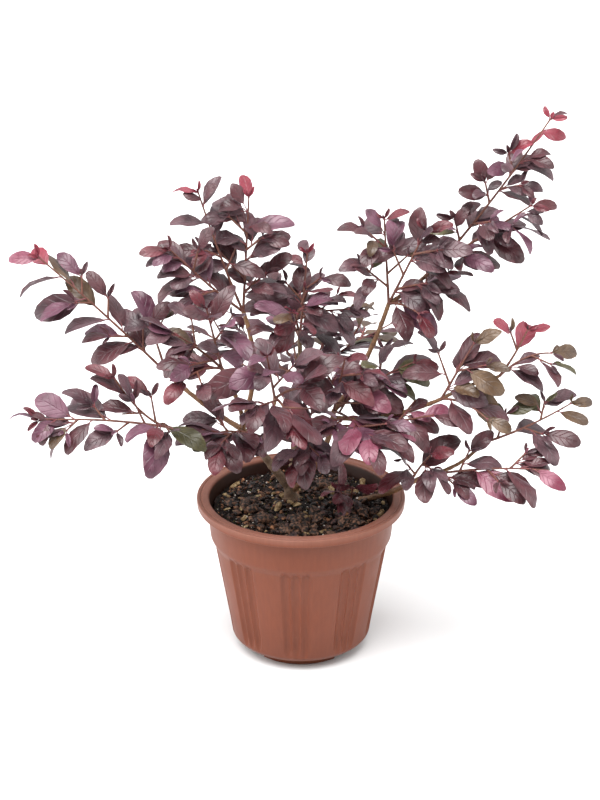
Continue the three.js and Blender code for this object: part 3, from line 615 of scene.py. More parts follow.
def build_piece(name, part, materials, replaced=(), uv=None, face_slots=None):
    """Makes one smooth mesh object at the origin from vertices in millimetres, rides it on the body,
    and hides the imported solids that it stands for. uv holds a pair for each vertex."""
    vertices, quads, triangles = part
    mesh = bpy.data.meshes.new(name)
    mesh.from_pydata((vertices * MM).tolist(), [], quads.tolist() + triangles.tolist())
    for material in materials:
        mesh.materials.append(material)
    mesh.polygons.foreach_set("use_smooth", np.ones(len(mesh.polygons), bool))
    if face_slots is not None:
        mesh.polygons.foreach_set("material_index", face_slots.astype(np.int32))
    if uv is not None:
        corner = np.empty(len(mesh.loops), np.int32)
        mesh.loops.foreach_get("vertex_index", corner)
        mesh.uv_layers.new(name="UVMap").data.foreach_set("uv", uv[corner].ravel())
    mesh.update()
    mesh.set_sharp_from_angle(angle=SHARP_ANGLE)
    piece = bpy.data.objects.new(name, mesh)
    bpy.context.scene.collection.objects.link(piece)
    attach(piece, BODY)
    if replaced:
        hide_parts(*replaced)


def limb_curves():
    """The curve and the radii of every limb, by name."""
    curves = {"trunk": (Bow(TRUNK_FOOT, TRUNK_TOP), (TRUNK_RADIUS, TRUNK_RADIUS - TRUNK_TAPER))}
    for name, carrier, share, tip, bow, radii in LIMBS:
        start = curves[carrier][0].point(share) if carrier in curves else SOIL_FEET[name]
        curves[name] = (Bow(start, tip, bow), radii)
    return curves


def mass_stem(row, curves):
    """The stem of a mass stops short of its tip by a share of a leaf."""
    name, limb, share, tip, rise, leaf = row[:6]
    start = curves[limb][0].point(share) if limb in curves else np.array(SOIL_FEET[name], float)
    tip = np.array(tip, float)
    tip -= TIP_SHARE * leaf * unit(tip - start)
    return Bow(start, tip, (0, 0, rise))


def round_half_up(x):
    """Rounds to the nearest whole number, and halves upwards."""
    return math.floor(x + 0.5)


def mass_shoots(row, number, stem):
    """The stem and its side twigs, which leave it to both sides in turn and get shorter towards its
    tip. Each is a curve with its count of leaves, its bare share, leaf size and seed."""
    leaf, twig, facing = row[5], row[6], unit(np.array(row[7], float))
    length = stem.length()
    seed = 10 * number
    count = max(STEM_LEAVES_LEAST, round_half_up(length / LEAF_SPACING))
    shoots = [(stem, count, max(STEM_BARE, FOOT_CLEAR / length), leaf, seed)]
    twigs = max(1, round_half_up(length / TWIG_SPACING))
    for i in range(twigs):
        place = TWIGS_FROM + TWIGS_OVER * (i + TWIG_PLACE_VARIES * chance(seed, i, "twig_place")) / twigs
        f = max(place, FOOT_CLEAR / length)
        tangent = stem.tangent(f)
        across = unit(np.cross(facing, tangent))
        outward = np.cross(tangent, across)
        rank = -1 if (i + number) % 2 else 1
        direction = unit(
            TWIG_FORWARD * tangent + rank * TWIG_SIDEWAYS * across
            + (TWIG_OUTWARD + jitter(OUTWARD_VARIES, seed, i, "twig_turn")) * outward
            + TWIG_UP * UP
        )
        reach = twig * (TWIG_REACH - REACH_FALLS * f) * drawn(TWIG_VIGOUR, seed, i, "twig_reach")
        start = stem.point(f)
        curve = Bow(start, start + reach * direction)
        count = max(TWIG_LEAVES_LEAST, round_half_up(reach / TWIG_LEAF_SPACING))
        shoots.append((curve, count, TWIG_BARE, TWIG_LEAF * leaf, seed + i + 1))
    return shoots


def lean(direction, root, habit):
    """A leaf's direction, led away from the middle of the crown by the habit's first value and with its
    rise kept to the share of the second."""
    sweep, level = habit
    away = np.array([root[0] - CROWN_AXIS[0], root[1] - CROWN_AXIS[1], 0])
    led = direction + sweep * away / max(SWEEP_FULL, np.linalg.norm(away))
    return led * (1, 1, level)


def blade_normal(along, outward):
    """The way that a blade looks: between its shoot's outward side and the sky, square to the leaf."""
    light = (1 - LEAF_TO_SKY) * outward + LEAF_TO_SKY * UP
    return unit(light - np.dot(light, along) * along)


def shoot_leaf(shoot, i, attempt, facing, habit):
    """One leaf of a shoot, in two ranks, with the last one ending the shoot. Each further try turns the
    same leaf another way."""
    curve, count, bare, size, first_seed = shoot
    last = i == count - 1
    f = 1 - TIP_ROOT_DEPTH / curve.length() if last else bare + (1 - bare) * i / (count - 1)
    seed = first_seed + 1000 * attempt
    tangent = curve.tangent(f)
    across = unit(np.cross(facing, tangent))
    outward = np.cross(tangent, across)
    rank = 1 if (i + first_seed) % 2 else -1
    spread = jitter(TIP_VARIES if last else SPREAD_VARIES, seed, i, "spread")
    if not last:
        spread = rank * (LEAF_SPREAD - SPREAD_CLOSES * f + spread)
    spread = math.radians(spread)
    root = curve.point(f)
    opened = (
        math.cos(spread) * tangent + math.sin(spread) * across
        + jitter(LIFT_VARIES, seed, i, "lift") * outward
    )
    droop = LEAF_DROOP + jitter(DROOP_VARIES, seed, i, "droop")
    along = unit(lean(opened, root, habit) - droop * UP)
    roll = math.radians(jitter(LEAF_ROLL, seed, i, "roll"))
    flat = blade_normal(along, outward)
    normal = math.cos(roll) * flat + math.sin(roll) * np.cross(along, flat)
    young = max(0, f - YOUNG_FROM) / (1 - YOUNG_FROM)
    length = size * drawn(LEAF_LENGTHS, seed, i, "length") * (1 - YOUNG_SHORTER * young)
    width = length * drawn(LEAF_WIDTHS, seed, i, "width")
    arch = LEAF_ARCH * drawn(LEAF_ARCHES, seed, i, "arch")
    return {
        "root": root, "along": along, "normal": normal, "length": length, "width": width,
        "arch": arch, "seed": seed, "i": i, "last": last, "tangent": tangent, "outward": outward,
    }


def deal_tint(mood, seed, i, young=False):
    """Deals a tint by the mood's hundredths. Most leaves at a stem's end take the mood's young tint."""
    weights, young_tint = MOODS[mood]
    draw = 100 * chance(seed, i, "tint")
    if young and draw < YOUNG_TINTED:
        return young_tint
    draw = 100 * chance(seed + 1, i, "tint")
    for tint, share in weights.items():
        draw -= share
        if draw < 0:
            break
    return tint


def spur_leaves(leaf, mood, facing, habit, fuller):
    """Two smaller leaves on a short spur in a leaf's axil, turned to both sides of it."""
    seed, i = leaf["seed"], leaf["i"]
    away = math.hypot(leaf["root"][0] - CROWN_AXIS[0], leaf["root"][1] - CROWN_AXIS[1])
    share = min(SPUR_MOST, max(SPUR_LEAST, SPUR_AT_AXIS - SPUR_FALL * away) + fuller)
    if leaf["last"] or chance(seed, i, "spur") > share:
        return []
    direction = unit(leaf["tangent"] + SPUR_ALONG * leaf["along"] + SPUR_OUTWARD * leaf["outward"])
    base = leaf["root"] + drawn(SPUR_LENGTHS, seed, i, "spur_length") * direction
    side = unit(np.cross(facing, direction))
    made = []
    for rank in (-1, 1):
        own = seed + 3 + rank
        turn = rank * (SPUR_TURN + jitter(SPUR_TURN_VARIES, own, i, "spur_side"))
        turned = math.cos(turn) * direction + math.sin(turn) * side
        along = unit(lean(turned, base, habit) - SPUR_DROOP * UP)
        length = leaf["length"] * drawn(SPUR_LEAVES, own, i, "spur_size")
        made.append({
            "root": base, "along": along, "normal": blade_normal(along, leaf["outward"]),
            "length": length, "width": SPUR_WIDTH * length, "arch": SPUR_ARCH, "seed": own, "i": i,
            "last": False, "foot": leaf["root"], "tint": deal_tint(mood, own, i),
        })
    return made


def tip_leaves(leaf, mood, young, fuller):
    """Three young leaves that stand close round the end of a shoot, half folded."""
    made = []
    seed, i = leaf["seed"], leaf["i"]
    side = unit(np.cross(leaf["outward"], leaf["tangent"]))
    for number, (usual_turn, lift, share) in enumerate(TIP_LEAVES):
        turn = usual_turn * (1 + fuller) + jitter(TIP_TURN_VARIES, seed, number, "tip_turn")
        along = unit(math.cos(turn) * leaf["tangent"] + math.sin(turn) * side + lift * leaf["outward"])
        across = unit(np.cross(leaf["outward"], along))
        length = leaf["length"] * share * (1 + TIP_FULLER_LONGER * fuller)
        made.append({
            "root": leaf["root"] + TIP_AHEAD * leaf["tangent"], "along": along,
            "normal": np.cross(along, across), "length": length,
            "width": (TIP_WIDTH + TIP_FULLER_WIDTH * fuller) * length, "arch": TIP_ARCH,
            "seed": seed + 7 + number, "i": i, "last": True, "foot": leaf["root"],
            "fold": TIP_FOLD * (1 - TIP_FULLER_FLAT * fuller),
            "tint": deal_tint(mood, seed, number, young),
        })
    return made


def grow_crown():
    """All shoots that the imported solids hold, and all leaves: those of the solids, and the small ones
    of the finer spurs and tips that grow between them."""
    curves = limb_curves()
    shoots_kept, leaves = [], []
    for number, row in enumerate(MASSES, start=1):
        name, facing, mood = row[0], unit(np.array(row[7], float)), row[8]
        habit = HABITS.get(name, (LEAF_SWEEP, LEAF_LEVEL))
        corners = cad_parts[name].data.vertices
        tree = kdtree.KDTree(len(corners))
        for corner in corners:
            tree.insert(corner.co, corner.index)
        tree.balance()
        for order, shoot in enumerate(mass_shoots(row, number, mass_stem(row, curves))):
            grown = []
            for i in range(shoot[1]):
                for attempt in range(LEAF_TRIES):
                    leaf = shoot_leaf(shoot, i, attempt, facing, habit)
                    tip = leaf["root"] + leaf["length"] * (leaf["along"] - leaf["arch"] * leaf["normal"])
                    if tree.find(Vector(tip) * MM)[2] < LEAF_TIP_NEAR * MM:
                        grown.append(leaf)
                        break
            if order and not grown:
                continue
            shoots_kept.append((shoot[0], order == 0))
            for leaf in grown:
                young = order == 0 and leaf["last"]
                dealt = deal_tint(mood, leaf["seed"], leaf["i"], young)
                tint = ACCENTS.get(name, {}).get((order, leaf["i"]), dealt)
                leaves.append({**leaf, "tint": tint, "foot": leaf["root"]})
                fuller = FULLER.get(name, 0)
                leaves.extend(spur_leaves(leaf, mood, facing, habit, fuller))
                if leaf["last"]:
                    leaves.extend(tip_leaves(leaf, mood, young, fuller))
    return shoots_kept, leaves


def column(leaves, key):
    """One value of every leaf as an array."""
    return np.array([leaf[key] for leaf in leaves], float)


def leaf_line(leaves, share, hook):
    """Points and up directions along the midribs of leaves: root + along x share of the length,
    dropped by arch x share squared, and by hook x the square of what is past HOOK_FROM."""
    along, normal = column(leaves, "along"), column(leaves, "normal")
    length = column(leaves, "length")[:, None]
    arch = column(leaves, "arch")[:, None]
    past = np.maximum(0, share - HOOK_FROM)
    drop = arch * share ** 2 + hook * past ** 2
    slope = 2 * arch * share + 2 * hook * past
    points = (column(leaves, "root")[:, None] + along[:, None] * (share * length)[..., None]
              - normal[:, None] * (drop * length)[..., None])
    return points, unit(normal[:, None] + along[:, None] * slope[..., None])


def leaf_blades(leaves, petiole, thickness, fold, curl):
    """Blades as flattened tubes with their poles. Along the blade, half its width follows a power of
    the sine of pi x share^egg, so that it is widest a little past the middle. The power starts at
    BLADE_FULL and falls towards the tip, so that the base is a wedge and the end is blunt. Across it,
    each half rises by the fold and rolls down again with the square of the distance from the midrib,
    and the margins ripple. The upper and lower sides part by the thickness, which is nothing at the
    margin. Fold, curl, hook, egg and bluntness are drawn for each leaf."""
    def draws(pair, trait):
        return np.array([drawn(pair, leaf["seed"], leaf["i"], trait) for leaf in leaves])[:, None]

    own_fold = np.array([leaf.get("fold", 0.0) for leaf in leaves])[:, None]
    # The rings lie closer towards both ends, and stop short of the poles that close the blade.
    gaps = LEAF_RINGS - 1 + 2 * FIRST_RING
    station = ((1 - np.cos(math.pi * (np.arange(LEAF_RINGS) + FIRST_RING) / gaps)) / 2)[None, :]
    share = petiole + (1 - petiole) * station
    hook = draws(BLADE_HOOK, "hook")
    power = BLADE_FULL - draws(BLADE_BLUNT, "blunt") * station
    wide = np.sin(math.pi * station ** draws(BLADE_EGG, "egg")) ** power
    half = column(leaves, "width")[:, None] / 2 * wide
    centre, upward = leaf_line(leaves, share, hook)
    poles, _ = leaf_line(leaves, np.array([[petiole * BLADE_BACK, 1.0]]), hook)
    side = np.cross(column(leaves, "normal"), column(leaves, "along"))

    u = LEAF_ACROSS
    is_top = np.where(np.arange(LEAF_SIDES) < LEAF_TOPS, 1, -1)
    angle = (fold * draws(BLADE_FOLD, "fold") + own_fold)[..., None]
    bend = (curl * draws(BLADE_CURL, "curl"))[..., None]
    phase = draws((0, 2 * math.pi), "wave")[..., None]
    waves = 2 * math.pi * RIPPLES_ALONG * share[..., None] + phase + RIPPLE_SHIFT * np.sign(u)
    ripple = RIPPLE * np.sin(waves)
    out = half[..., None] * u * np.cos(angle * (1 - FOLD_OPENS * np.abs(u)))
    rise = half[..., None] * (np.abs(u) * np.sin(angle) - bend * u ** 2 + ripple * u ** 2)
    rise = rise + thickness / 2 * is_top * (1 - u ** 4)
    rings = (centre[:, :, None] + side[:, None, None] * out[..., None]
             + upward[:, :, None] * rise[..., None])
    across, along = np.broadcast_arrays((u + 1) / 2, station[0][:, None])
    one = np.concatenate([np.stack([across, along], axis=-1).reshape(-1, 2), [[0.5, 0.0], [0.5, 1.0]]])
    return rings, poles, np.tile(one, (len(leaves), 1))


def leaf_face_slots(count):
    """Faces of the upper side take slot 0 and those of the underside slot 1, all quads first."""
    slots = np.where(np.arange(LEAF_SIDES) < LEAF_TOPS - 1, 0, 1)
    return np.concatenate([np.tile(slots, count * (LEAF_RINGS - 1)), np.tile(slots, count * 2)])


def stalk_tubes(leaves, petiole, radius):
    """Leaf stalks: tapering tubes from inside the shoot to a little way up the blade's midrib."""
    rings = []
    for leaf in leaves:
        end = leaf["root"] + (petiole + STALK_OVERLAP) * leaf["length"] * leaf["along"]
        curve = Bow(leaf["foot"], end, STALK_BOW * leaf["length"] * leaf["normal"])
        taper = np.linspace(1, STALK_END, STALK_ROWS)[:, None] * np.ones(STALK_SIDES)
        size = STALK_FIRM + (1 - STALK_FIRM) * leaf["length"] / USUAL_LEAF
        rings.append(tube_rings(curve, radius * taper * size))
    return close_tubes(np.array(rings))


def shoot_tubes(shoots):
    """Twigs with a slight swelling at each node: radius x (1 + swelling x a sharp cosine along it)."""
    parts = []
    for curve, is_stem in shoots:
        length = curve.length()
        rows = max(TWIG_ROWS_LEAST, int(length / TWIG_ROW))
        f = np.linspace(0, 1, rows)
        nodes = np.maximum(0, np.cos(2 * math.pi * f * length / LEAF_SPACING)) ** TWIG_NODES_SHARP
        thick = TWIG_RADIUS if is_stem else TWIG_THINNER * TWIG_RADIUS
        radius = (thick + (TWIG_END * TWIG_TIP_RADIUS - thick) * f) * (1 + TWIG_SWELLING * nodes)
        parts.append(close_tubes(tube_rings(curve, radius[:, None] * np.ones(TWIG_SIDES))[None]))
    return join_parts(parts)


def bark_tube(curve, radii, relief, seed, flared):
    """A limb with bark. Its radius tapers evenly, swells at its nodes, most at the scar on one side of
    each, and carries ridges that wander round it as they run along: relief x noise of arc length and
    distance. A flared one widens towards its foot by an exponential, in lobes."""
    length = curve.length()
    rows = max(BARK_ROWS_LEAST, int(length / BARK_ROW))
    f = np.linspace(0, 1, rows)[:, None]
    angle = np.linspace(0, 2 * math.pi, BARK_SIDES, endpoint=False)[None, :]
    thick, thin = radii
    radius = thick + (thin - thick) * f
    if flared:
        lobes = 1 + LOBE_DEPTH * np.cos(FLARE_LOBES * angle + 1)
        radius = radius + FLARE * np.exp(-FLARE_FALLS * f) * lobes
    # The noise changes about five times as fast round the limb as along it, for ridges that run along.
    turns = np.cos(angle) * radius + 40
    rounds = np.sin(angle) * radius
    ridges = ripples(turns * 5 + rounds * 3, f * length + rounds, RIDGE_LENGTH, seed)
    grain = ripples(turns * 2, rounds * 2 + f * length * 0.4, BARK_GRAIN_LENGTH, seed + 50)
    node = f * length / LIMB_NODE_GAP
    nodes = np.maximum(0, np.cos(2 * math.pi * (node + chance(seed, 1, "nodes")))) ** NODES_SHARP
    scar = nodes * (0.5 + 0.5 * np.cos(angle - SCAR_TURN * np.floor(node + 0.5)))
    radius = (radius * (1 + NODE_SWELLING * nodes + SCAR_SWELLING * scar)
              + relief * (ridges + BARK_GRAIN * grain))
    return close_tubes(tube_rings(curve, radius)[None])


def rounded_profile(knots):
    """A line through knots of radius, height and rounding. Each corner becomes a quadratic curve that
    starts and ends its rounding away from the knot, and long straight runs get points between."""
    points = []
    for i, (r, z, rounding) in enumerate(knots):
        here = np.array([r, z], float)
        if rounding:
            before = here + rounding * unit(np.array(knots[i - 1][:2], float) - here)
            after = here + rounding * unit(np.array(knots[i + 1][:2], float) - here)
            bow = (here - (before + after) / 2) / 2
            corner = Bow((*before, 0), (*after, 0), (*bow, 0))
            points.extend(corner.point(np.linspace(0, 1, CORNER_STEPS))[:, :2])
        else:
            points.append(here)
    filled = [points[0]]
    for here in points[1:]:
        parts = max(1, int(np.linalg.norm(here - filled[-1]) / POT_ROW + 0.5))
        start = filled[-1]
        filled.extend(start + (here - start) * k / parts for k in range(1, parts + 1))
    return np.array(filled)


def pot_knots():
    """The pot's outline from the middle of its underside out, up the wall, over the lip and down, as
    knots of radius, height and rounding in millimetres."""
    lip_bottom = POT_HEIGHT - LIP_DROP
    inner = WALL_TOP_RADIUS - WALL
    return (
        (POLE_RING, 0, 0), (NOTCH_INNER - 3, 0, 0), (FOOT_RADIUS, 0, 1),
        (FOOT_RADIUS + 0.8, FOOT_HEIGHT, 0.6),
        *((r, z, 1.2) for r, z in CORNER_ROUND), (CORNER_RADIUS, CORNER_TOP, 1.2),
        (WALL_RADIUS_UNDER_STEP, STEP_BOTTOM, 1.5), (BAND_RADIUS, BAND_BOTTOM, 1.8),
        (WALL_TOP_RADIUS, lip_bottom + 0.3, 0.8), (LIP_RADIUS - 0.3, lip_bottom - 0.2, 1.2),
        (LIP_RADIUS, POT_HEIGHT, 1.2), (LIP_RADIUS - GROOVE_IN, POT_HEIGHT, 0.4),
        (LIP_RADIUS - GROOVE_IN - 0.8, POT_HEIGHT - GROOVE_DEPTH, 0.4),
        (LIP_RADIUS - GROOVE_IN - 1.6, POT_HEIGHT, 0.4),
        (inner + 0.8, POT_HEIGHT, 1.8), (CORNER_RADIUS - WALL, CORNER_TOP, 5),
        (FLOOR_EDGE_RADIUS, FLOOR_TOP, 2), (POLE_RING, FLOOR_TOP, 0),
    )


def flute_depth(angle, z):
    """How far the wall is pushed in, from 0 to 1: one minus the square of the place across a flute,
    less the square of how far past its rounded ends the height is."""
    group = 360 / FLUTE_GROUPS
    turn = (np.degrees(angle) - FLUTE_TURN + group / 2) % group - group / 2
    flute = turn / FLUTE_ANGLE
    across = 2 * (flute - np.round(flute))
    in_group = np.abs(flute) < FLUTES_IN_GROUP / 2
    above = np.maximum(0, (z - FLUTE_TOP) / FLUTE_HEAD)
    below = np.maximum(0, (FLUTE_FOOT - z) / FLUTE_TAIL)
    return np.where(in_group, np.maximum(0, 1 - across ** 2 - above ** 2 - below ** 2), 0)


def pot_surface(depth):
    """The whole pot as one closed grid of profile point and angle. Angle 0 is the front. The flutes
    push its outer wall in, and points of the underside are lifted to make the notches and the holes."""
    profile = rounded_profile(pot_knots())
    past_lip_edge = 4
    outer_rows = int(np.argmax(profile[:, 1])) + past_lip_edge
    angle = np.linspace(0, 2 * math.pi, POT_COLUMNS, endpoint=False)[None, :]
    radius = profile[:, :1] * np.ones_like(angle)
    height = profile[:, 1:] * np.ones_like(angle)
    outside = (np.arange(len(profile)) < outer_rows)[:, None]
    radius = radius - np.where(outside, depth * flute_depth(angle, height), 0)
    for notch in NOTCH_ANGLES:
        turn = angle - math.radians(notch)
        beside = np.abs(radius * np.sin(turn))
        ahead = radius * np.cos(turn)
        inside = outside & (beside < NOTCH_WIDTH / 2) & (ahead > NOTCH_INNER) & (height < FOOT_HEIGHT)
        height = np.where(inside, FOOT_HEIGHT, height)
        hole = np.hypot(beside, ahead - DRAIN_DISTANCE) < DRAIN_RADIUS
        underside = outside & (height < FLOOR_TOP - DRAIN_SKIN)
        height = np.where(hole & underside, FLOOR_TOP - DRAIN_SKIN, height)
    points = np.stack([radius * np.sin(angle), -radius * np.cos(angle), height], axis=-1)
    return close_tubes(points[None])


def soil_height(x, y, lump):
    """The soil's level: flat round the shrub, lower towards the wall, with lumps of noise in three
    sizes, held to a highest one."""
    away = np.hypot(x - TRUNK_FOOT[0], y - TRUNK_FOOT[1]) - SOIL_LEVEL_RADIUS
    fall = SOIL_EDGE_DROP * np.clip(away / SOIL_FALLS_OVER, 0, 1)
    lumps = sum(weight * ripples(x, y, size, seed, waves) for size, seed, waves, weight in LUMPS)
    share = smooth(LUMPS_START + away / LUMPS_OVER)
    return SOIL_TOP - fall - SOIL_SUNK + lump * np.minimum(lumps, LUMP_HIGHEST) * share


def soil_surface(lump):
    """The soil as one closed grid: rings from the middle of its top to the wall, then down the wall to
    its flat bottom."""
    angle = np.linspace(0, 2 * math.pi, SOIL_COLUMNS, endpoint=False)[None, :]
    first_ring = 0.8
    radius = np.linspace(first_ring, SOIL_EDGE_RADIUS, SOIL_RINGS)[:, None]
    x = radius * np.sin(angle)
    y = -radius * np.cos(angle)
    top = np.stack([x, y, soil_height(x, y, lump)], axis=-1)
    bottom = FLOOR_TOP + SOIL_FLOOR_GAP
    sides = (
        (CORNER_RADIUS - WALL - SOIL_WALL_GAP, CORNER_TOP + SOIL_FLOOR_GAP),
        (FLOOR_EDGE_RADIUS - SOIL_WALL_GAP, bottom), (POLE_RING, bottom),
    )
    rows = [np.stack([r * np.sin(angle[0]), -r * np.cos(angle[0]), np.full(SOIL_COLUMNS, float(z))], axis=-1)
            for r, z in sides]
    points = np.concatenate([top, np.array(rows)])[::-1]
    return close_tubes(points[None])


def icosahedron():
    """Twelve corners at 1 from the middle, and twenty faces that point out."""
    gold = (1 + math.sqrt(5)) / 2
    corners = []
    for a in (-1, 1):
        for b in (-gold, gold):
            corners += [(0, a, b), (a, b, 0), (b, 0, a)]
    corners = unit(np.array(corners, float))
    longest_edge = 1.2
    faces = []
    for i in range(12):
        for j in range(i + 1, 12):
            for k in range(j + 1, 12):
                trio = corners[[i, j, k]]
                gaps = np.linalg.norm(trio - np.roll(trio, 1, axis=0), axis=1)
                if gaps.max() < longest_edge:
                    outward = np.dot(np.cross(trio[1] - trio[0], trio[2] - trio[0]), trio.sum(0)) > 0
                    faces.append((i, j, k) if outward else (i, k, j))
    return corners, np.array(faces)


def rounder(corners, faces):
    """A ball with each face cut into four at the middles of its edges, which are pushed out to 1."""
    edges = np.sort(np.concatenate([faces[:, [0, 1]], faces[:, [1, 2]], faces[:, [2, 0]]]), axis=1)
    own, place = np.unique(edges, axis=0, return_inverse=True)
    ab, bc, ca = len(corners) + place.reshape(3, -1)
    a, b, c = faces.T
    corners = np.concatenate([corners, unit(corners[own].sum(1))])
    parts = ((a, ab, ca), (b, bc, ab), (c, ca, bc), (ab, bc, ca))
    return corners, np.concatenate([np.stack(part, axis=1) for part in parts])


def scatter_grains(count, sizes, stretch, seed, lump, sink, heaped):
    """Grains on the soil: dented balls of seeded size, each stretched along a seeded direction and
    sunk a little. Places fill the disc evenly, since the radius grows with the root of the draw, or
    they lie round the middles of the heaps."""
    rng = np.random.default_rng(seed)
    corners, faces = icosahedron()
    if heaped:
        corners, faces = rounder(corners, faces)
        heap = np.array(HEAPS)[rng.integers(0, len(HEAPS), count)]
        x, y = (heap + rng.normal(0, HEAP_SPREAD, (count, 2))).T
    else:
        radius = (SOIL_EDGE_RADIUS - GRAIN_MARGIN) * np.sqrt(rng.uniform(GRAIN_HOLLOW, 1, count))
        turn = rng.uniform(0, 2 * math.pi, count)
        x, y = radius * np.cos(turn), radius * np.sin(turn)
    size = rng.uniform(0, 1, count) ** 2 * (sizes[1] - sizes[0]) + sizes[0]
    fits = np.hypot(x, y) + GRAIN_CLEAR * size < SOIL_EDGE_RADIUS
    x, y, size = x[fits], y[fits], size[fits]
    count = len(x)
    dents = rng.uniform(*GRAIN_DENTS, (count, len(corners), 1))
    scale = np.stack([
        rng.uniform(1, stretch, count), np.ones(count), rng.uniform(*GRAIN_FLATNESS, count),
    ], axis=-1)
    points = corners[None] * dents * scale[:, None] * size[:, None, None] / 2
    spin = rng.uniform(0, 2 * math.pi, count)[:, None]
    tip = rng.uniform(-GRAIN_TIP, GRAIN_TIP, count)[:, None]
    px, py, pz = points[..., 0], points[..., 1], points[..., 2]
    px, pz = px * np.cos(tip) - pz * np.sin(tip), px * np.sin(tip) + pz * np.cos(tip)
    px, py = px * np.cos(spin) - py * np.sin(spin), px * np.sin(spin) + py * np.cos(spin)
    level = soil_height(x, y, lump) + (0.5 - sink) * size * scale[:, 2]
    vertices = np.stack([px + x[:, None], py + y[:, None], pz + level[:, None]], axis=-1)
    triangles = faces[None] + np.arange(count)[:, None, None] * len(corners)
    return vertices.reshape(-1, 3), np.zeros((0, 4), int), triangles.reshape(-1, 3)


def object_point(tree):
    """Object coordinates in millimetres, so that the scale of a noise is 1 / its size in millimetres."""
    place = add_node(tree, "TexCoord")
    return add_node(tree, "Mapping", {"Vector": place.outputs["Object"], "Scale": (1 / MM,) * 3})


def leaf_material(name, body, lit, roughness, vein_depth, is_upper):
    """Living leaf blade: a waxy skin over quilted tissue. The wax gives a broad soft sheen, and the
    veins, sunk above and raised below, catch it in forward-leaning lines. Patches of tone are about
    14 mm across. The fine grain, about 1 mm, is coarser than real pores, so that it shows."""
    material, tree = new_material(name)
    point = object_point(tree)
    patches = add_node(tree, "TexNoise", {"Vector": point, "Scale": 0.07, "Detail": 3.0})
    fine = add_node(tree, "TexNoise", {"Vector": point, "Scale": 0.9, "Detail": 2.0})
    place = add_node(tree, "UVMap", uv_map="UVMap")
    split = add_node(tree, "SeparateXYZ", {"Vector": place.outputs["UV"]})
    centred = add_node(tree, "Math", {0: split.outputs["X"], 1: 0.5}, operation="SUBTRACT")
    side = add_node(tree, "Math", {0: centred}, operation="ABSOLUTE")
    slanted = add_node(tree, "Math", {
        0: side, 1: -VEIN_SLANT, 2: split.outputs["Y"],
    }, operation="MULTIPLY_ADD")
    veins = add_node(tree, "Math", {0: slanted, 1: VEIN_PAIRS}, operation="MULTIPLY")
    wave = add_node(tree, "Math", {0: veins, 1: 0.5}, operation="PINGPONG")
    bulge, midrib = (
        add_node(tree, "MapRange", {"Value": distance, "From Max": half}, interpolation_type="SMOOTHSTEP")
        for distance, half in ((wave, VEIN_HALF), (side, MIDRIB_HALF))
    )
    height = add_node(tree, "Math", {0: bulge, 1: midrib}, operation="MULTIPLY")
    grain = add_node(tree, "Math", {0: fine, 1: 0.35, 2: height}, operation="MULTIPLY_ADD")
    bump = add_node(tree, "Bump", {
        "Height": grain, "Strength": 1.0, "Distance": vein_depth,
    }, invert=not is_upper)
    spread = add_node(tree, "MapRange", {"Value": patches, "From Min": 0.38, "From Max": 0.62})
    tone = add_node(tree, "Mix", {"Factor": spread, "A": body, "B": lit}, data_type="RGBA")
    # Along the veins the upper side is darker, partly the veins' own tint and partly painted shade in their
    # sunk creases; the raised veins below are paler.
    vein_tint_and_shade = add_node(tree, "MapRange", {
        "Value": height, "From Max": 0.35, "To Min": 0.88 if is_upper else 1.15, "To Max": 1.0,
    })
    shaded = add_node(tree, "Mix", {
        "Factor": 1.0, "A": tone, "B": vein_tint_and_shade,
    }, data_type="RGBA", blend_type="MULTIPLY")
    shader = add_node(tree, "BsdfPrincipled", {
        "Base Color": shaded, "Roughness": roughness, "Normal": bump, "IOR": 1.5,
        "Specular IOR Level": 0.52, "Sheen Weight": 0.1, "Sheen Roughness": 0.45,
        "Sheen Tint": linear("#d6cfe8"),
    })
    add_node(tree, "OutputMaterial", {"Surface": shader})
    return material


def bark_material(name, body, streak, roughness):
    """Shrub bark: a thin cork skin in patches of about 6 mm, with flakes of about 1 mm that are lighter
    on their ridges and darker in their hollows."""
    material, tree = new_material(name)
    point = object_point(tree)
    patches = add_node(tree, "TexNoise", {"Vector": point, "Scale": 0.16, "Detail": 4.0})
    flakes = add_node(tree, "TexNoise", {"Vector": point, "Scale": 1.1, "Detail": 3.0})
    spread = add_node(tree, "MapRange", {"Value": patches, "From Min": 0.35, "From Max": 0.65})
    tone = add_node(tree, "Mix", {"Factor": spread, "A": body, "B": linear(streak)}, data_type="RGBA")
    dark = add_node(tree, "MapRange", {
        "Value": flakes, "From Min": 0.3, "From Max": 0.7, "To Min": 0.6, "To Max": 1.25,
    })
    shaded = add_node(tree, "Mix", {
        "Factor": 1.0, "A": tone, "B": dark,
    }, data_type="RGBA", blend_type="MULTIPLY")
    bump = add_node(tree, "Bump", {"Height": flakes, "Strength": 0.9, "Distance": 0.35 * MM})
    shader = add_node(tree, "BsdfPrincipled", {
        "Base Color": shaded, "Roughness": roughness, "Normal": bump,
    })
    add_node(tree, "OutputMaterial", {"Surface": shader})
    return material


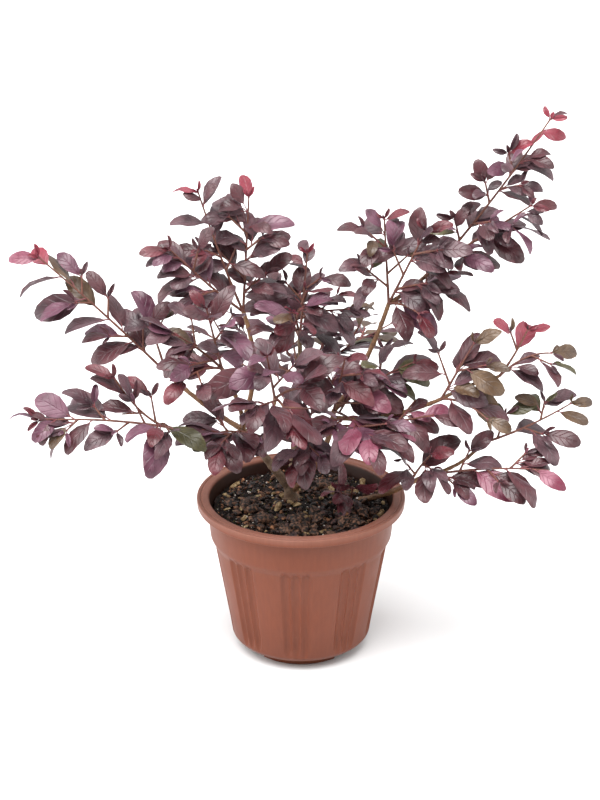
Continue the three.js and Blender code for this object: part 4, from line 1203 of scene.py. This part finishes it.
def pot_material(wall, rim, roughness):
    """Injection-moulded polypropylene, filled and dyed terracotta: a satin skin with a fine grain,
    lighter and greyer in clouds towards the top of its lip, with faint streaks down its wall, and
    darker towards its foot as painted shade. Its inner wall over the soil is darkened towards the soil's
    colour, partly the soil's stain and partly painted shade under the crown. Clouds of tone are about
    33 mm across and streaks about 2 by 50 mm. The grain, about 0.4 mm, is coarser than the mould's, so that
    it shows."""
    material, tree = new_material("moulded_polypropylene")
    point = object_point(tree)
    split = add_node(tree, "SeparateXYZ", {"Vector": point})
    cloud = add_node(tree, "TexNoise", {"Vector": point, "Scale": 0.03, "Detail": 5.0})
    flat = add_node(tree, "Mapping", {"Vector": point, "Scale": (0.45, 0.45, 0.02)})
    streaks = add_node(tree, "TexNoise", {"Vector": flat, "Scale": 1.0, "Detail": 4.0})
    grain = add_node(tree, "TexNoise", {"Vector": point, "Scale": 2.6, "Detail": 2.0})
    lightened = add_node(tree, "MapRange", {
        "Value": split.outputs["Z"], "From Min": POT_HEIGHT - LIP_DROP + 1, "From Max": POT_HEIGHT + 2,
    })
    edge = add_node(tree, "Math", {0: lightened, 1: cloud}, operation="MULTIPLY")
    lip_lightening = add_node(tree, "Math", {0: edge, 1: RIM_LIGHTENING}, operation="MULTIPLY", use_clamp=True)
    tone = add_node(tree, "Mix", {"Factor": lip_lightening, "A": wall, "B": rim}, data_type="RGBA")
    flat_point = add_node(tree, "CombineXYZ", {"X": split.outputs["X"], "Y": split.outputs["Y"]})
    radius = add_node(tree, "VectorMath", {0: flat_point}, operation="LENGTH")
    # The darkening, partly the soil's stain and partly painted shade under the crown, keeps to the inner
    # wall over the soil. Lower down, the outer wall is as near the axis.
    inner = WALL_TOP_RADIUS - WALL
    inside = add_node(tree, "MapRange", {
        "Value": radius, "From Min": inner + 0.7, "From Max": inner + 0.3,
    })
    high = add_node(tree, "MapRange", {
        "Value": split.outputs["Z"], "From Min": SOIL_TOP - 12, "From Max": SOIL_TOP - 10, "To Max": 0.88,
    })
    stain_and_shade = add_node(tree, "Math", {0: inside, 1: high}, operation="MULTIPLY")
    stained_and_shaded = add_node(tree, "Mix", {
        "Factor": stain_and_shade, "A": tone, "B": linear("#170c08"),
    }, data_type="RGBA")
    fade = add_node(tree, "MapRange", {
        "Value": streaks, "From Min": 0.3, "From Max": 0.7, "To Min": 0.93, "To Max": 1.07,
    })
    # Painted shade: the wall darkens towards its foot, to 0.82 of its colour at the bottom.
    painted_foot_shade = add_node(tree, "MapRange", {
        "Value": split.outputs["Z"], "From Max": FOOT_SHADE_HEIGHT, "To Min": 0.82, "To Max": 1.0,
    })
    streaks_and_foot_shade = add_node(tree, "Math", {0: fade, 1: painted_foot_shade}, operation="MULTIPLY")
    shaded = add_node(tree, "Mix", {
        "Factor": 1.0, "A": stained_and_shaded, "B": streaks_and_foot_shade,
    }, data_type="RGBA", blend_type="MULTIPLY")
    gloss = add_node(tree, "MapRange", {
        "Value": cloud, "From Min": 0.3, "From Max": 0.7,
        "To Min": roughness - 0.06, "To Max": roughness + 0.08,
    })
    bump = add_node(tree, "Bump", {"Height": grain, "Strength": 0.35, "Distance": 0.08 * MM})
    shader = add_node(tree, "BsdfPrincipled", {
        "Base Color": shaded, "Roughness": gloss, "Normal": bump, "IOR": 1.49, "Specular IOR Level": 0.35,
    })
    add_node(tree, "OutputMaterial", {"Surface": shader})
    return material


def soil_material(name, body, fleck, roughness, scale):
    """Peat and bark fines: matte and nearly black where moist, with paler dry fibres in clumps of
    1 / scale millimetres."""
    material, tree = new_material(name)
    point = object_point(tree)
    clumps = add_node(tree, "TexNoise", {"Vector": point, "Scale": scale, "Detail": 6.0})
    spread = add_node(tree, "MapRange", {"Value": clumps, "From Min": 0.45, "From Max": 0.72})
    tone = add_node(tree, "Mix", {"Factor": spread, "A": body, "B": fleck}, data_type="RGBA")
    bump = add_node(tree, "Bump", {"Height": clumps, "Strength": 1.0, "Distance": 0.8 * MM})
    shader = add_node(tree, "BsdfPrincipled", {
        "Base Color": tone, "Roughness": roughness, "Normal": bump, "Specular IOR Level": 0.3,
    })
    add_node(tree, "OutputMaterial", {"Surface": shader})
    return material


def colour(name, description, hex_code):
    """A colour setting."""
    return FloatVectorProperty(
        name=name, description=description, subtype="COLOR", size=4, min=0, max=1, default=linear(hex_code))


def amount(name, description, default, **kind):
    """A number that is nothing or more, with a unit or a subtype where one fits."""
    return FloatProperty(name=name, description=description, default=default, min=0, **kind)


class PotSettings(bpy.types.PropertyGroup):
    """What a user would change on the pot."""
    flute_depth: amount("Flute depth", "How deep each flute is", 2.3 * MM, unit="LENGTH")
    wall: colour("Wall", "Colour of the wall", "#6c351f")
    rim: colour("Rim", "Colour of the rubbed lip", "#875d50")
    roughness: amount("Roughness", "Roughness of the moulded skin", 0.46, max=1, subtype="FACTOR")


class SoilSettings(bpy.types.PropertyGroup):
    """What a user would change on the soil."""
    lump: amount("Lumps", "Height of the soil's lumps", 1.2 * MM, unit="LENGTH")
    grains: IntProperty(
        name="Grains", description="Count of clods, crumbs, chips and grit in all", default=2300, min=0)
    peat: colour("Peat", "Colour of moist peat", "#0a0503")
    fibre: colour("Fibre", "Colour of dry fibres", "#33201a")


class BarkSettings(bpy.types.PropertyGroup):
    """What a user would change on the bark."""
    relief: amount("Relief", "Height of the bark's ridges", 0.1 * MM, unit="LENGTH")
    old: colour("Old bark", "Colour of the trunk and old stems", "#5e4632")
    young: colour("Young bark", "Colour of the boughs", "#66432c")
    twig: colour("Twig", "Colour of the twigs", "#5c2f28")
    stalk: colour("Stalk", "Colour of the leaf stalks", "#6c3236")


class LeafSettings(bpy.types.PropertyGroup):
    """What a user would change on the leaves."""
    petiole: amount("Stalk share", "Share of a leaf that is stalk", 0.1, max=0.3, subtype="FACTOR")
    thickness: amount("Thickness", "Thickness at the midrib", 0.45 * MM, unit="LENGTH")
    stalk: amount("Stalk radius", "Radius of a usual leaf's stalk", 0.62 * MM, unit="LENGTH")
    fold: amount("Fold", "Usual angle that each half rises by", 0.34, unit="ROTATION")
    curl: amount("Curl", "How far margins roll down, as a share of half the width", 0.16, subtype="FACTOR")
    vein: amount("Vein depth", "Depth of the veins' relief", 0.2 * MM, unit="LENGTH")


class StageSettings(bpy.types.PropertyGroup):
    """What a user would change on the stage."""
    key: amount("Key", "Strength of the key light", 4.7)
    top: amount("Top", "Strength of the light from above", 2.0)
    fill: amount("Fill", "Strength of the light from the left", 3.1)
    side: amount("Side", "Strength of the light from the right", 1.2)
    sky: amount("Sky", "Strength of the surroundings", 0.35)
    reach: amount("Reach", "Half the floor's side", 6.0, unit="LENGTH")
    floor: colour("Floor", "Colour of the floor", "#dadada")


class SHRUB_OT_pot(bpy.types.Operator):
    """Moulds the pot"""
    bl_idname = "shrub.pot"
    bl_label = "Mould pot"

    def execute(self, context):
        settings = context.scene.shrub_pot
        plastic = pot_material(settings.wall, settings.rim, settings.roughness)
        build_piece("pot_shell", pot_surface(settings.flute_depth / MM), [plastic], ("pot",))
        return {"FINISHED"}


class SHRUB_OT_soil(bpy.types.Operator):
    """Fills the pot with soil and strews crumbs, chips and grit on it"""
    bl_idname = "shrub.soil"
    bl_label = "Fill soil"

    def execute(self, context):
        settings = context.scene.shrub_soil
        lump = settings.lump / MM
        peat = soil_material("moist_peat", settings.peat, settings.fibre, roughness=0.85, scale=0.5)
        build_piece("soil_bed", soil_surface(lump), [peat], ("soil",))
        for seed, kind in enumerate(GRAINS, start=21):
            piece, per_hundred, sizes, stretch, sink, heaped, name, body, fleck, roughness = kind
            count = round(settings.grains * per_hundred / 100)
            grains = scatter_grains(count, sizes, stretch, seed, lump, sink, heaped)
            material = soil_material(name, linear(body), linear(fleck), roughness, scale=0.4)
            build_piece(piece, grains, [material])
        return {"FINISHED"}


class SHRUB_OT_bark(bpy.types.Operator):
    """Covers the trunk and the limbs with bark"""
    bl_idname = "shrub.bark"
    bl_label = "Grow bark"

    def execute(self, context):
        settings = context.scene.shrub_bark
        relief = settings.relief / MM
        old = bark_material("aged_bark", settings.old, streak="#7a6450", roughness=0.8)
        young = bark_material("young_bark", settings.young, streak="#7f5c3c", roughness=0.6)
        old_parts, young_parts = [], []
        for seed, (name, (curve, radii)) in enumerate(limb_curves().items()):
            part = bark_tube(curve, radii, relief, seed, flared=name == "trunk")
            is_old = name == "trunk" or name in OLD_LIMBS
            (old_parts if is_old else young_parts).append(part)
        young_names = [row[0] for row in LIMBS if row[0] not in OLD_LIMBS]
        build_piece("old_bark", join_parts(old_parts), [old], ("trunk", *OLD_LIMBS))
        build_piece("young_bark", join_parts(young_parts), [young], young_names)
        return {"FINISHED"}


class SHRUB_OT_crown(bpy.types.Operator):
    """Grows the twigs, the leaf stalks and the leaves of every tint"""
    bl_idname = "shrub.crown"
    bl_label = "Grow crown"

    def execute(self, context):
        bark = context.scene.shrub_bark
        settings = context.scene.shrub_leaf
        shoots, leaves = grow_crown()
        masses = [row[0] for row in MASSES]
        twig = bark_material("green_twig_bark", bark.twig, streak="#6e4434", roughness=0.55)
        stalk = bark_material("leaf_stalk", bark.stalk, streak="#80484a", roughness=0.5)
        build_piece("twigs", shoot_tubes(shoots), [twig], masses)
        stalks = stalk_tubes(leaves, settings.petiole, settings.stalk / MM)
        build_piece("leaf_stalks", stalks, [stalk])
        for tint, (body, lit, under) in TINTS.items():
            own = [leaf for leaf in leaves if leaf["tint"] == tint]
            if not own:
                continue
            rings, poles, uv = leaf_blades(
                own, settings.petiole, settings.thickness / MM, settings.fold, settings.curl)
            skins = [
                leaf_material(
                    f"{tint}_leaf_{side}", linear(base), linear(lit), roughness, settings.vein, is_upper)
                for side, base, roughness, is_upper in (
                    ("upper_side", body, 0.36, True), ("underside", under, 0.62, False))
            ]
            build_piece(
                f"leaves_{tint}", close_tubes(rings, poles), skins,
                uv=uv, face_slots=leaf_face_slots(len(own)))
        return {"FINISHED"}


def sun_light(name, towards, spread, strength):
    """A broad sun that shines from the given direction. A wide spread, in degrees, gives the soft
    shadows of a large softbox, as even over the whole floor as the studio's was."""
    data = bpy.data.lights.new(name, "SUN")
    data.angle = math.radians(spread)
    data.energy = strength
    light = bpy.data.objects.new(name, data)
    light.rotation_euler = Vector(towards).to_track_quat("Z", "Y").to_euler()
    bpy.context.scene.collection.objects.link(light)


class SHRUB_OT_stage(bpy.types.Operator):
    """Sets the floor, the lights and the camera"""
    bl_idname = "shrub.stage"
    bl_label = "Set stage"

    def execute(self, context):
        settings = context.scene.shrub_stage
        scene = context.scene
        scene.view_settings.view_transform = "Standard"
        material, tree = new_material("matte_paper_floor")
        shader = add_node(tree, "BsdfDiffuse", {"Color": settings.floor})
        add_node(tree, "OutputMaterial", {"Surface": shader})
        mesh = bpy.data.meshes.new("floor")
        reach = settings.reach
        mesh.from_pydata([(-reach, -reach, 0), (reach, -reach, 0), (reach, reach, 0), (-reach, reach, 0)],
                         [], [(0, 1, 2, 3)])
        mesh.materials.append(material)
        floor = bpy.data.objects.new("floor", mesh)
        scene.collection.objects.link(floor)

        world = bpy.data.worlds.new("studio")
        scene.world = world
        world.use_nodes = True
        backdrop = world.node_tree.nodes["Background"]
        backdrop.inputs["Color"].default_value = (1, 1, 1, 1)
        backdrop.inputs["Strength"].default_value = settings.sky
        for name, towards, spread in SUNS:
            sun_light(name, towards, spread, getattr(settings, name))

        lens = bpy.data.cameras.new("camera")
        lens.sensor_fit = "VERTICAL"
        lens.sensor_height = SENSOR_HEIGHT
        lens.lens = CAMERA_FOCUS_PX / IMAGE_HEIGHT_PX * SENSOR_HEIGHT
        camera = bpy.data.objects.new("camera", lens)
        camera.location = [c * MM for c in CAMERA_PLACE]
        camera.rotation_euler = (math.radians(90 - CAMERA_PITCH), 0, 0)
        scene.collection.objects.link(camera)
        scene.camera = camera
        return {"FINISHED"}


STEPS = (SHRUB_OT_stage, SHRUB_OT_pot, SHRUB_OT_soil, SHRUB_OT_bark, SHRUB_OT_crown)
SETTINGS = {
    "shrub_pot": PotSettings, "shrub_soil": SoilSettings, "shrub_bark": BarkSettings,
    "shrub_leaf": LeafSettings, "shrub_stage": StageSettings,
}


class SHRUB_PT_panel(bpy.types.Panel):
    """Lists the steps that make the shrub"""
    bl_label = "Potted shrub"
    bl_idname = "SHRUB_PT_panel"
    bl_space_type = "VIEW_3D"
    bl_region_type = "UI"
    bl_category = "Shrub"

    def draw(self, context):
        for step in STEPS:
            self.layout.operator(step.bl_idname)


def register():
    for kind in (*SETTINGS.values(), *STEPS, SHRUB_PT_panel):
        bpy.utils.register_class(kind)
    for name, kind in SETTINGS.items():
        setattr(bpy.types.Scene, name, PointerProperty(type=kind))


def unregister():
    for name in SETTINGS:
        delattr(bpy.types.Scene, name)
    for kind in (SHRUB_PT_panel, *STEPS, *SETTINGS.values()):
        bpy.utils.unregister_class(kind)


def main():
    register()
    bpy.ops.shrub.stage()
    bpy.ops.shrub.pot()
    bpy.ops.shrub.soil()
    bpy.ops.shrub.bark()
    bpy.ops.shrub.crown()


if __name__ == "__main__":
    main()
